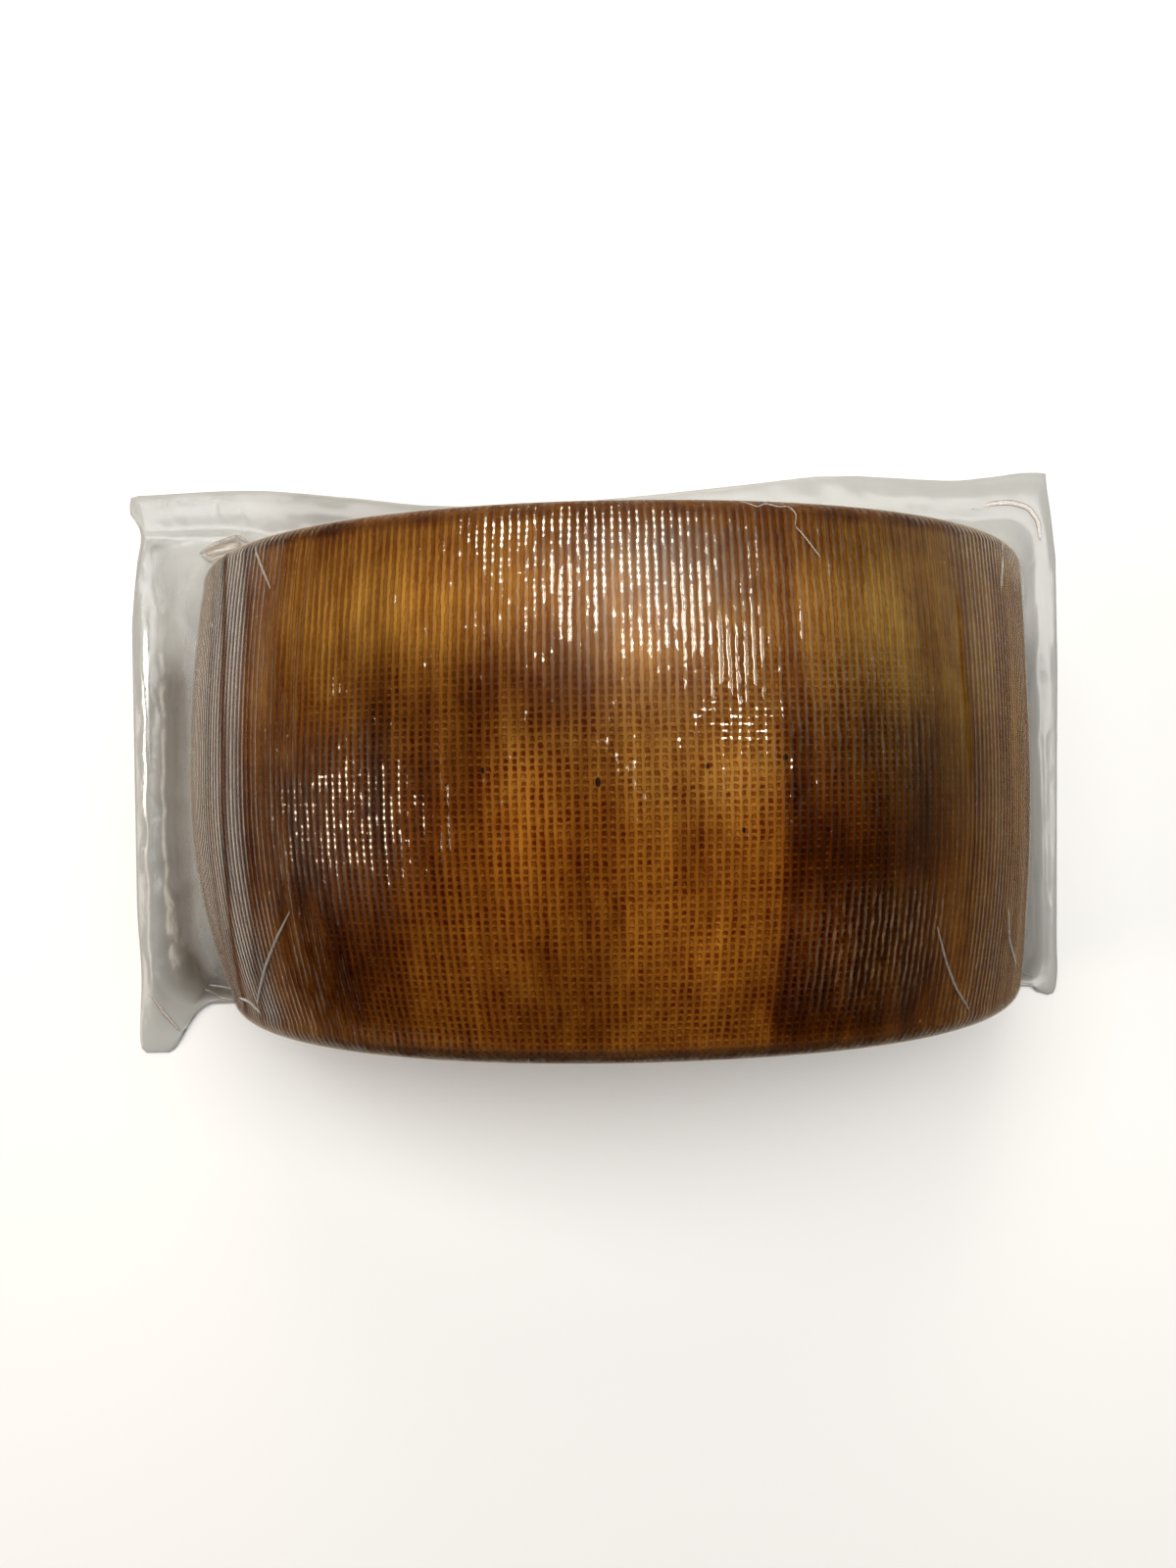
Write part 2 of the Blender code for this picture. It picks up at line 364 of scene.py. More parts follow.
def cloth_relief(made, rib, row):
    """How deep the cloth pressed the rind in, and the painted glints on the pits' lower edges.

    The dip is 0 along a rib and 1 in the grooves between ribs. Cross threads part a groove into
    single pits, as far as the pit share says. The flat faces have the same cloth, laid straight.
    """
    pit_share = made.field("pit_share")
    side = made.field("side")
    place = made.place()
    wobble = made.noise(place, 800.0, 1.0) - 0.5
    shift = made.noise(place, 260.0, 1.0) - 0.5
    chance = made.noise(place, 430.0, 2.0, 0.6)
    between = (1.0 - (rib + wobble * 0.42 + shift * 0.35).wave()).rise(0.30, 0.80)
    bars = (row + wobble * 0.55 + shift * 0.5).wave().rise(0.38, 0.80)
    dip = between * (1.0 - 0.82 * bars * pit_share) * side
    x, _, z = made.split(place)
    pitch = sizes().row_pitch
    across_face = (1.0 - (x / (1.2 * pitch) + wobble * 0.5 + shift * 0.6).wave()).rise(0.30, 0.85)
    up_face = (1.0 - (z / pitch + wobble * 0.5 + shift * 0.6).wave()).rise(0.30, 0.85)
    dip = dip + across_face * up_face * (1.0 - side) * 0.8
    # Painted highlight: pale glints where the pits' lower edges would catch the key lamp
    lower_edge = (row - 0.14 + wobble * 0.20).wave().rise(0.70, 0.96)
    painted_lip_glint = between * lower_edge * chance.rise(0.40, 0.62) * pit_share * side
    return dip, painted_lip_glint


def specks_on(rib, row):
    """Black specks: small ovals, each 1 inside and eased out over its edge."""
    found = None
    for angle, along, wide, tall in SPECKS:
        across = (rib - (90.0 - angle) / 180.0 * sizes().rib_count) * (1.55 / wide)
        upward = (row - along * MM / sizes().row_pitch) * (sizes().row_pitch / MM / tall)
        speck = (1.35 - (across * across + upward * upward)).rise(0.0, 0.7)
        found = speck if found is None else found.at_least(speck)
    return found


def rind_material(look):
    """Rind: ripening and fine noise pick its colour; the cloth's pits, oil and olive tint it; painted
    glints pale its pits.
    """
    made = Finish("rind under film")
    ripening = made.field("ripening")
    oil = made.field("oil")
    olive = made.field("olive")
    rib, row, _ = made.split(made.attribute("cloth")["Vector"])
    dip, painted_lip_glint = cloth_relief(made, rib, row)
    place = made.place()
    streak = made.noise(place, (420.0, 42.0, 420.0), 3.0, 0.6) - 0.5
    weft = made.noise(place, (60.0, 520.0, 60.0), 2.0, 0.6) - 0.5
    mottle = made.noise(place, 190.0, 4.0, 0.62) - 0.5
    grain = made.noise(place, 1300.0, 1.0) - 0.5
    fibre = made.noise(place, (1500.0, 60.0, 1500.0), 1.0, 0.6) - 0.5
    columns = made.noise(place, (150.0, 9.0, 150.0), 2.0).rise(0.38, 0.60) - 0.5
    local = streak * 0.40 + fibre * 0.20 + columns * 0.13 + mottle * 0.26 + weft * 0.10 + grain * 0.12
    pits = made.field("pit_share")
    uneven = (made.noise(place, 620.0, 1.0) - 0.5) * 1.3 + (made.noise(place, 200.0, 2.0) - 0.5) * 1.7
    depth = (0.26 + (0.22 + uneven) * (0.25 + 0.75 * pits)) * (1.0 - olive * 0.45)
    stops = (
        (0.0, look.straw), (0.25, look.gold), (0.50, look.amber),
        (0.70, look.chestnut), (0.86, look.brown), (1.0, look.umber),
    )  # fmt: skip
    # Painted highlight: the lip glints make the tone paler and the darkening less
    tone = ripening + local * 0.6 - painted_lip_glint * 0.12
    colour = made.node("ShaderNodeValToRGB", {"stops": stops}, {"Fac": tone})["Color"]
    shade = 0.17 + local * 1.6 + dip * depth - painted_lip_glint * 0.25
    colour = made.blend(shade, colour, PIT_TINT, "MULTIPLY")
    colour = made.blend(oil, colour, OIL_TINT, "MULTIPLY")
    colour = made.blend(olive, colour, OLIVE_TINT, "MULTIPLY")
    colour = made.blend(specks_on(rib, row) * 0.95, colour, SPECK_COLOUR)
    fine = made.noise(place, 700.0, 3.0, 0.6)
    normal = made.bump(1.0 - dip * 0.75 + fine * 0.22, RIND_RELIEF)
    return made.finish(made.solid(colour, look.roughness, 0.0, normal))


def paste_material(look):
    """Firm pale paste: a fine grain, small torn eyes darkened with painted shade, and a darker band
    under the rind.
    """
    made = Finish("cut paste")
    place = made.place()
    rim = made.field("rim_share")
    mottle = made.noise(place, 60.0, 4.0, 0.6)
    grain = made.noise(place, 900.0, 2.0, 0.6)
    cells = made.node(
        "ShaderNodeTexVoronoi", {"feature": "F1"}, {"Vector": place, "Scale": 170.0, "Randomness": 1.0}
    )
    chosen = made.split(cells["Color"])[0].rise(0.72, 0.76)
    eye = chosen * (1.0 - (cells["Distance"] + (grain - 0.5) * 0.2).rise(0.10, 0.22))
    colour = made.blend((mottle - 0.35) * 0.8, look.paste, PALE_PASTE)
    colour = made.blend(rim.rise(0.0, 0.8), colour, PASTE_EDGE)
    colour = made.blend(rim.rise(0.72, 1.0), colour, look.chestnut)
    # Painted shade: the eyes are darkened where their hollows would lie in shade
    colour = made.blend(eye * 0.6, colour, PAINTED_EYE_SHADE)
    normal = made.bump(grain * 0.25 + mottle * 0.3 - eye, PASTE_RELIEF)
    return made.finish(made.solid(colour, 0.55, 0.3, normal))


def film_shader(
    made, haze, milk, roughness, normal, shine=0.0, calm=0.0, slick=1.0, glow=(1.0, 1.0, 1.0)
):
    """Clear film: what lies behind it, a share of milk, and a mirror that grows at a slant.

    Calm is taken off the mirror where the film clings, slick scales the rest, and shine adds to it
    where the film stands taut.
    """
    clear = made.node("ShaderNodeBsdfTransparent", None, {"Color": CLEAR_FILM})["BSDF"]
    cloudy = made.solid(milk, 0.9, 0.0)
    body = made.node("ShaderNodeMixShader", None, {0: haze, 1: clear, 2: cloudy})["Shader"]
    gloss = made.node(
        "ShaderNodeBsdfAnisotropic", {"distribution": "GGX"},
        {"Color": glow, "Roughness": roughness, "Normal": normal},
    )["BSDF"]  # fmt: skip
    slant = made.node("ShaderNodeFresnel", None, {"IOR": FILM_IOR, "Normal": normal})["Fac"]
    mirror = (slant - calm).at_least(0.0) * slick + shine
    return made.node("ShaderNodeMixShader", None, {0: mirror, 1: body, 2: gloss})["Shader"]


def clinging_film_material(look):
    """Film drawn on to the cloth's ribs: it shines along taut crests and lies wet between them.

    A streak is a line along a crest, broken by noise, hollow where the film pulls clear of the crest
    and strung into beads where the cross threads hold it down. The dull sheen is a dull, pale crest of
    milk: painted sheen standing in for faint highlights. The rest of the film's milk is mostly painted
    sheen too.
    """
    made = Finish("film on the rind")
    rib, row, _ = made.split(made.attribute("cloth")["Vector"])
    side = made.field("side")
    glint = made.field("glint")
    frost = made.field("frost")
    beads = made.field("beads")
    hollow = made.field("hollow")
    place = made.place()
    wiggle = made.noise(place, (500.0, 300.0, 500.0), 2.0) - 0.5
    run = made.noise(place, (560.0, 70.0, 560.0), 2.0, 0.6) - 0.5
    dash = made.noise(place, (620.0, 380.0, 620.0), 2.0, 0.6) - 0.5
    knot = made.noise(place, 640.0, 1.0) - 0.5
    rows = (row + wiggle * 0.5).wave()
    crest = (rib + wiggle * 0.60).wave() + dash * 0.36 + (rows - 0.5) * 0.10
    pair = crest.rise(0.52, 0.62) * (1.0 - crest.rise(0.72, 0.82))
    split = hollow * (run * 7.0 + dash * 3.0 + 0.6).rise(0.3, 0.7)
    line = crest.rise(0.86, 0.99) * (1.0 - split) + pair * split
    strung = 1.0 - beads * (1.0 - rows.rise(0.45, 0.85))
    tied = ((beads - 0.8) * 2.2 + knot * 3.2).rise(0.62, 0.80) * (glint + run).rise(0.34, 0.50)
    bar = (rows + dash * 0.4).rise(0.84, 0.97) * tied
    broken = run * 2.2 + dash * 1.8 + knot * 1.0
    shine = line * strung * (glint + broken).rise(0.54, 0.68)
    shine = shine.at_least(bar) * side.rise(0.0, 0.3)
    shine = shine * made.field("bright") * look.crest_shine
    ridge = crest.rise(0.50, 0.92) * (0.65 + dash * 2.4 + run * 1.6).at_least(0.0) * side
    # Painted sheen: pale milk on the crests stands in for faint highlights
    dull = ridge * frost * 0.16
    lean = made.noise(place, (420.0, 22.0, 420.0), 3.0, 0.65)
    calm = 0.04 + (lean - 0.42).at_least(0.0) * 0.35
    stripes = 1.0 + side * (1.30 * rib.wave().rise(0.35, 0.80) - 0.75)
    slick = made.field("slick") * stripes
    height = (rib.wave() * 0.8 + (dash + 0.5) * 0.03) * side
    normal = made.bump(height, CLINGING_RELIEF)
    # Painted sheen: milk in stripes along the ribs and on the crests stands in for the film's faint
    # reflections
    haze = made.field("veil") * (1.0 + side * (1.30 * rib.wave() - 0.65)) + dull
    milk = made.blend(made.field("cool"), look.warm_milk, look.cool_milk)
    milk = made.blend(made.field("dusky"), milk, look.dusky_milk)
    shader = film_shader(made, haze, milk, look.roughness, normal, shine, calm, slick, look.gloss)
    return made.finish(shader)


def loose_film_material(look):
    """Film away from the cheese: two milky layers, with painted shade near the rind, browned as a
    painted reflection of it.
    """
    made = Finish("loose film")
    shine = made.field("glint") * look.crest_shine
    near = made.field("near_rind")
    clear_share = made.field("clear_share")
    place = made.place()
    wrinkle = made.noise(place, (160.0, 90.0, 160.0), 3.0, 0.55)
    # Painted shade near the rind: darker, browner milk, and more of it
    milk = made.blend(near, look.milk, look.deep)
    haze = look.border_haze * (1.0 - clear_share) + near * 0.42 + 0.06 * (wrinkle - 0.5)
    normal = made.bump(wrinkle, LOOSE_RELIEF)
    return made.finish(film_shader(made, haze, milk, look.loose_roughness, normal, shine))


def crease_material(look):
    """Film folded into a thin ridge: milky in uneven stretches."""
    made = Finish("film crease")
    wrinkle = made.noise(made.place(), 500.0, 2.0)
    haze = 0.33 + 0.6 * (wrinkle - 0.5)
    normal = made.bump(wrinkle, CREASE_RELIEF)
    return made.finish(film_shader(made, haze, CREASE_MILK, look.roughness, normal, CREASE_SHINE))


def floor_material():
    """Pale matt floor with a trace of mottling."""
    made = Finish("pale floor")
    mottle = made.noise(made.place(), 3.0, 2.0)
    colour = made.blend(mottle * 0.3, (0.83, 0.83, 0.825), (0.80, 0.80, 0.797))
    return made.finish(made.solid(colour, 0.9, 0.0))


# ---------------------------------------------------------------- surfaces


def eased(value):
    """0 to 1 along a smooth step: 3 v squared less 2 v cubed."""
    held = np.clip(value, 0.0, 1.0)
    return held * held * (3.0 - 2.0 * held)


def hill(distance):
    """A round hill, 1 at no distance, about a third at a distance of 1."""
    return np.exp(-distance * distance)


def rising(value, start, over):
    """0 up to a start, then eased to 1 over a stretch."""
    return eased((value - start) / over)


def falling(value, start, over):
    """0 down to a start, then eased to 1 over a stretch further down."""
    return eased((start - value) / over)


def spot(angle, y_mm, centre, along, wide, tall):
    """A round hill over the rind: its angle and place along the axis, and its half widths."""
    return hill(np.hypot((angle - centre) / wide, (y_mm - along) / tall))


def wander(u, v, seed, wrap=0):
    """Soft noise from -1 to 1: seeded values on a lattice of whole numbers, eased between them.

    Wrap is the number of lattice columns after which the noise repeats.
    """
    values = np.random.default_rng(seed).uniform(-1.0, 1.0, (512, 512))
    column, row = np.floor(u).astype(int), np.floor(v).astype(int)
    across, along = eased(u - column), eased(v - row)
    width = wrap or 512
    here, after = column % width, (column + 1) % width
    low, high = row % 512, (row + 1) % 512
    lower = values[here, low] * (1.0 - across) + values[after, low] * across
    upper = values[here, high] * (1.0 - across) + values[after, high] * across
    return lower * (1.0 - along) + upper * along


def section_radius(turn):
    """The wheel's radius at an angle up from +X, before the taper: a slightly oval, squared circle."""
    shape = 1.0 + OVAL * np.cos(2.0 * turn) - SQUARING * np.cos(4.0 * turn)
    return sizes().wheel_radius * shape


def taper_at(turn, y):
    """How far the rind is drawn in: a parabola towards each rim, blunter at the +X end."""
    half = sizes().half_height
    blunt = 1.0 - (1.0 - RIGHT_TAPER_SHARE) * np.maximum(np.cos(turn), 0.0) ** 2
    upper = TOP_TAPER * np.minimum(np.maximum(y, 0.0) / (half - TOP_ROUND), 1.0) ** 2
    lower = BOTTOM_TAPER * np.minimum(np.maximum(-y, 0.0) / (half - BOTTOM_ROUND), 1.0) ** 2
    return blunt * (upper + lower)


def wheel_profile(side_rows, round_rows, face_rows):
    """The wheel's profile from one pole to the other: (inset, y, face share) in rows.

    A flat face runs out from the pole, an arc turns over the rim, the side runs down to the other
    rim, and the same follows in mirror image. Face share is the radius's share on a face, 1 elsewhere.
    """
    half = sizes().half_height
    shares = np.sqrt(np.linspace(0.0, 1.0, face_rows + 1))[:-1]
    shares[0] = 0.0
    quarter = np.linspace(0.0, math.pi / 2.0, round_rows + 1)
    side = np.linspace(half - TOP_ROUND, BOTTOM_ROUND - half, side_rows + 1)[1:-1]
    inset = np.concatenate([
        np.full(face_rows, TOP_ROUND), TOP_ROUND * (1.0 - np.sin(quarter)), np.zeros(side_rows - 1),
        BOTTOM_ROUND * (1.0 - np.sin(quarter[::-1])), np.full(face_rows, BOTTOM_ROUND),
    ])  # fmt: skip
    y = np.concatenate([
        np.full(face_rows, half), half - TOP_ROUND * (1.0 - np.cos(quarter)), side,
        BOTTOM_ROUND * (1.0 - np.cos(quarter[::-1])) - half, np.full(face_rows, -half),
    ])  # fmt: skip
    share = np.concatenate([shares, np.ones(len(y) - 2 * face_rows), shares[::-1]])
    return inset, y, share


def wheel_surface(turn, inset, y, share, lowered):
    """Points of the wheel: half a turn about Y, set in by the profile, the taper and a relief."""
    radius = (section_radius(turn) - inset - taper_at(turn, y) - lowered) * share
    x = radius * np.cos(turn)
    z = radius * np.sin(turn) + CUT_HEIGHT
    return np.stack([x, np.broadcast_to(y, x.shape), z], axis=-1)


def rim_inset(y):
    """How far the rind has turned in over a rim: nothing on the side, the arc's radius at the face."""
    edge = np.where(y > 0.0, TOP_ROUND, BOTTOM_ROUND)
    past = np.clip(np.abs(y) - (sizes().half_height - edge), 0.0, edge)
    return edge - np.sqrt(edge * edge - past * past)


def cloth_at(turn, y):
    """The cloth's ribs and rows, counted: whole numbers on a rib's crest and on a cross thread."""
    size = sizes()
    rib, row = np.broadcast_arrays(turn / math.pi * size.rib_count, y / size.row_pitch)
    return np.stack([rib, row, np.zeros(rib.shape)], -1)


def side_share(y):
    """1 on the wheel's side, 0 where it has turned over on to a flat face."""
    half = sizes().half_height
    edge = np.where(y > 0.0, TOP_ROUND, BOTTOM_ROUND)
    return np.clip((half - np.abs(y)) / edge, 0.0, 1.0)


def quads(rows, columns, around=False, first=0):
    """Corner numbers of the quads of a grid, wound so that row then column turns right-handed."""
    across = columns if around else columns - 1
    row, column = np.meshgrid(np.arange(rows - 1), np.arange(across), indexing="ij")
    after = (column + 1) % columns
    here = row * columns
    above = here + columns
    corners = np.stack([here + column, here + after, above + after, above + column], -1)
    return corners.reshape(-1, 4) + first


WELD = 0.004 * MM


def build(name, points, faces, values, materials, face_materials=None, weld=WELD):
    """A mesh piece from arrays of points and quads, with a named value at every point.

    Doubles within weld are merged, faces that collapse go, and the faces are made to agree.
    """
    mesh = bpy.data.meshes.new(name)
    points = np.asarray(points, np.float32).reshape(-1, 3)
    faces = np.asarray(faces, np.int32)
    mesh.vertices.add(len(points))
    mesh.vertices.foreach_set("co", points.reshape(-1))
    mesh.loops.add(faces.size)
    mesh.loops.foreach_set("vertex_index", faces.reshape(-1))
    mesh.polygons.add(len(faces))
    mesh.polygons.foreach_set("loop_start", np.arange(0, faces.size, 4, dtype=np.int32))
    mesh.polygons.foreach_set("loop_total", np.full(len(faces), 4, np.int32))
    if face_materials is not None:
        mesh.polygons.foreach_set("material_index", np.asarray(face_materials, np.int32))
    for key, value in values.items():
        kind, field = ("FLOAT_VECTOR", "vector") if key == "cloth" else ("FLOAT", "value")
        data = mesh.attributes.new(key, kind, "POINT").data
        data.foreach_set(field, np.asarray(value, np.float32).reshape(-1))
    mesh.update(calc_edges=True)
    mesh.validate()
    for material in materials:
        mesh.materials.append(material)
    body = bmesh.new()
    body.from_mesh(mesh)
    bmesh.ops.remove_doubles(body, verts=body.verts, dist=weld)
    bmesh.ops.dissolve_degenerate(body, edges=body.edges, dist=weld * 0.5)
    bmesh.ops.recalc_face_normals(body, faces=body.faces)
    body.to_mesh(mesh)
    body.free()
    mesh.shade_smooth()
    piece = bpy.data.objects.new(name, mesh)
    bpy.context.scene.collection.objects.link(piece)
    return piece


# ---------------------------------------------------------------- the cheese

# Patches of the rind: angle from the crown in degrees, place along the axis in millimetres, half
# widths along both, and how much darker (+) or paler (-) the rind is there
PATCHES = {
    "gold middle": (-2, -10, 20, 32, -0.05),
    "gold top left": (-28, 32, 12, 9, -0.30),
    "gold left of the crown": (-18, 34, 6, 11, -0.20),
    "gold top": (-6, 34, 8, 9, -0.35),
    "pale crown": (4, 26, 6, 10, -0.45),
    "gold upper right": (26, 30, 8, 8, -0.25),
    "gold left of the middle": (-10, -10, 4, 15, -0.20),
    "gold right of the middle": (11, 2, 5, 9, -0.30),
    "gold low right": (9, -31, 7, 13, -0.30),
    "gold low left": (-18, -36, 6, 9, -0.15),
    "brown band": (-10, 17, 10, 7, 0.20),
    "brown line at the left": (-25, 6, 2, 28, 0.35),
    "brown line next to it": (-20, 4, 2, 20, 0.25),
    "brown line left of the middle": (-16, 6, 2, 24, 0.25),
    "brown low middle": (-4, -33, 3, 17, 0.20),
    "dark left": (-36, -6, 12, 20, 0.30),
    "brown low left": (-32, -32, 10, 14, 0.35),
    "brown upper right": (24, 14, 8, 10, 0.10),
    "dark right": (27, -13, 9, 13, 0.15),
    "brown low right": (28, -38, 11, 10, 0.15),
    "brown top right": (16, 43, 10, 6, 0.20),
    "brown right flank": (44, -10, 10, 40, 0.15),
}

# The rind's middling tone, and the sharp edge of its dark right: the angle, and the place along the
# axis below which it shows
RIPE = 0.56
RIGHT_EDGE_ANGLE = 16.9
RIGHT_EDGE_TOP = 20.0

# Soft fields of the rind and its film: angle, place along the axis and half widths along both
OIL_FREE_CROWN = (7.0, 2.0, 8.0, 11.0)
OILY_UPPER_LEFT = (-18.0, 30.0, 11.0, 16.0)
LESS_OLIVE_RIGHT = (22.0, -12.0, 8.0, 14.0)
OLIVE_UPPER_LEFT = (-28.0, 28.0, 12.0, 14.0)
OLIVE_FAR_RIGHT = (37.0, 0.0, 11.0, 24.0)
# Painted sheen: a glow of milk round the crown's glints, and some over the left cluster
SHEEN_ON_CROWN = (3.5, 34.0, 9.5, 15.0)
SHEEN_ON_CLUSTER = (-31.0, -6.0, 8.0, 13.0)
COOL_CROWN = (2.0, 38.0, 15.0, 16.0)
LESS_SLICK_UPPER_LEFT = (-22.0, 24.0, 14.0, 16.0)


def ripening_at(angle, y_mm):
    """How dark the rind is: a middling tone, plus soft patches, painted shade on rims and flanks, and
    noise.
    """
    tone = np.full(angle.shape, RIPE)
    for *field, amount in PATCHES.values():
        tone += amount * spot(angle, y_mm, *field)
    beyond = rising(angle, RIGHT_EDGE_ANGLE, 1.2) * falling(y_mm, RIGHT_EDGE_TOP, 14.0)
    tone += 0.27 * beyond * hill(np.maximum(angle - 30.0, 0.0) / 14.0)
    # Painted shade: darker towards both flanks, over both rims and in an uneven line along the top rim
    tone += 0.07 * rising(np.abs(angle), 40.0, 25.0) + 0.30 * falling(angle, -41.0, 8.0)
    tone += 0.22 * rising(np.abs(y_mm + 0.5), 46.5, 2.5)
    rim_noise = wander(angle * 0.4 + 50.0, np.full(angle.shape, 20.0), 8)
    tone += 0.30 * rising(y_mm, 46.0, 2.5) * (0.6 + 0.7 * rim_noise)
    tone += 0.045 * wander(angle * 0.55 + 200.0, y_mm * 0.035 + 60.0, 5)
    tone += 0.055 * wander(angle * 0.22 + 90.0, y_mm * 0.11 + 30.0, 6)
    return tone


def face_tone(x_mm, z_mm):
    """How dark the flat faces are: a middling tone, soft blotches, and darker towards the rim."""
    tone = RIPE + 0.10 * wander(x_mm * 0.035 + 100.0, z_mm * 0.035 + 100.0, 41)
    tone += 0.07 * wander(x_mm * 0.09 + 100.0, z_mm * 0.09 + 100.0, 42)
    return tone + 0.16 * rising(np.hypot(x_mm, z_mm), 78.0, 18.0)


def side_to_face(value, face_value, side):
    """A value of the wheel's side, eased into another over the rim on to a flat face."""
    share = eased(side)
    return value * share + face_value * (1.0 - share)


def oil_at(angle, y_mm):
    """How oily and amber the rind is: fully in the lower middle, not at the top and on the flanks."""
    low = falling(y_mm, 12.0, 22.0) * rising(angle, -48.0, 30.0) * falling(angle, 52.0, 14.0)
    pale = 0.8 * spot(angle, y_mm, *OIL_FREE_CROWN)
    return np.clip(low - pale + 0.25 * spot(angle, y_mm, *OILY_UPPER_LEFT), 0.0, 1.0)


def olive_at(angle, y_mm):
    """How olive the rind is: most on the right flank, half as much short of it, some upper left."""
    right = rising(angle, 16.0, 14.0) * (1.0 - 0.5 * spot(angle, y_mm, *LESS_OLIVE_RIGHT))
    right = right * (0.56 + 0.40 * spot(angle, y_mm, *OLIVE_FAR_RIGHT))
    return np.clip(right + 0.28 * spot(angle, y_mm, *OLIVE_UPPER_LEFT), 0.0, 1.0)


def pit_share_at(angle, y_mm):
    """1 where the cloth left single pits, 0 where it left unbroken grooves."""
    low = 1.0 - eased((y_mm - 14.0 + 6.0 * hill(angle / 14.0)) / 16.0)
    centre = 1.0 - rising(np.abs(angle), 24.0, 14.0)
    patchy = 0.25 * wander(angle * 0.3 + 70.0, y_mm * 0.12 + 70.0, 9)
    return np.clip((0.06 + 0.94 * low) * (0.35 + 0.65 * centre) + patchy * low, 0.0, 1.0)


# Places where the film stands taut over the crests: angle from the crown, place along the axis in
# millimetres, half widths along both, amount, share of beads, share of hollow streaks, brightness
GLINTS = {
    "rim dashes": (-3.5, 46.2, 15.0, 5.2, 1.05, 0.62, 0.0, 1.20),
    "left beads": (-9.6, 36.5, 4.4, 10.0, 0.62, 0.75, 0.2, 0.80),
    "long streaks": (-4.4, 32.6, 3.4, 7.4, 0.90, 0.10, 0.4, 1.00),
    "centre beads": (1.0, 38.0, 7.4, 11.0, 0.74, 0.60, 0.1, 1.00),
    "centre streaks": (3.4, 29.0, 5.0, 9.5, 0.68, 0.45, 0.2, 1.00),
    "right streaks": (8.2, 31.0, 3.4, 13.0, 0.82, 0.15, 0.5, 1.00),
    "far streaks": (12.4, 24.0, 3.2, 11.5, 0.76, 0.10, 0.9, 1.00),
    "right rows": (12.4, 10.5, 4.6, 4.6, 0.70, 1.00, 0.0, 1.00),
    "bright column": (14.7, 40.5, 0.8, 8.0, 0.85, 0.35, 0.0, 1.00),
    "short dashes": (-6.2, 22.8, 2.4, 1.3, 0.62, 0.50, 0.0, 1.00),
    "left cluster": (-27.0, -4.5, 8.0, 11.0, 0.76, 0.80, 0.1, 0.88),
    "left edge": (-35.0, -6.0, 5.0, 9.0, 0.64, 0.85, 0.0, 0.60),
    "left dash": (-17.5, -5.0, 0.9, 8.5, 0.66, 0.50, 0.2, 0.80),
    "left glint": (-29.8, 18.4, 2.0, 1.0, 0.60, 0.60, 0.0, 0.60),
    "top left glint": (-19.4, 43.6, 0.7, 2.2, 0.80, 0.20, 0.0, 1.00),
    "low left rim glints": (-44.0, -48.8, 9.0, 1.4, 0.66, 0.60, 0.0, 0.60),
}

# Places where the crests carry a dull, pale painted sheen: angle, place along the axis, half widths,
# amount
DULL_SHEENS = {
    "crown": (0.0, 38.0, 15.0, 16.0, 1.0),
    "right of the crown": (12.0, 26.0, 6.0, 17.0, 0.65),
    "upper right": (24.0, 24.0, 14.0, 26.0, 0.45),
    "upper left": (-22.0, 34.0, 18.0, 16.0, 0.08),
    "lower right": (30.0, -30.0, 10.0, 10.0, 0.95),
    "left rim": (-30.0, -46.5, 12.0, 2.5, 0.45),
    "left": (-33.0, -5.0, 9.0, 14.0, 0.55),
}

# Lines where the film lies wet along the flanks and the painted sheen and the mirror are taken off:
# angle from the crown, half width, share, degrees of lean for each millimetre, middle and half length
# in millimetres
WET_LINES = {
    "left": (-49.5, 0.9, 0.88, 0.0, 0.0, 60.0),
    "inner left": (-43.4, 0.9, 0.60, 0.0, 0.0, 60.0),
    "outer left": (-53.9, 0.6, 0.35, 0.0, 0.0, 60.0),
    "upper right": (41.7, 0.5, 1.00, -0.03, 18.0, 17.0),
    "lower right": (42.6, 0.6, 0.45, 0.0, -12.0, 30.0),
}


def soft_box(angle, y_mm, centre, along, wide, tall):
    """1 in the middle of a box with round corners, a third at its half widths, 0 well outside it."""
    across = np.abs(angle - centre) / wide
    upward = np.abs(y_mm - along) / tall
    return np.exp(-(across**3.2) - upward**3.2)


def glints_at(angle, y_mm):
    """How taut the film is, how beaded, hollow and bright its streaks are: the strongest box there."""
    taut = np.full(angle.shape, -0.20)
    beads = np.full(angle.shape, 0.3)
    hollow = np.zeros(angle.shape)
    bright = np.ones(angle.shape)
    for centre, along, wide, tall, amount, beaded, open_share, brightness in GLINTS.values():
        found = amount * soft_box(angle, y_mm, centre, along, wide, tall)
        stronger = found > taut
        taut = np.where(stronger, found, taut)
        beads = np.where(stronger, beaded, beads)
        hollow = np.where(stronger, open_share, hollow)
        bright = np.where(stronger, brightness, bright)
    return taut, beads, hollow, bright


def dull_sheen_at(angle, y_mm):
    """How far the painted dull sheen shows: the strongest box there."""
    found = np.zeros(angle.shape)
    for *field, amount in DULL_SHEENS.values():
        found = np.maximum(found, amount * soft_box(angle, y_mm, *field))
    return found


def wet_lines_at(angle, y_mm):
    """What the wet lines leave of the film's painted sheen and of its mirror: they wander, and bow at
    the left.
    """
    bend = 0.5 * wander(np.full(angle.shape, 300.0), y_mm * 0.06 + 200.0, 31)
    bend += np.where(angle < 0.0, 2.4 * ((y_mm - 7.0) / 30.0) ** 2, 0.0)
    left = np.ones(angle.shape)
    for centre, wide, share, lean, middle, half_length in WET_LINES.values():
        line = hill((angle + bend - centre - lean * (y_mm - middle)) / wide)
        left = left * (1.0 - share * line * falling(np.abs(y_mm - middle), half_length + 3.0, 6.0))
    return left


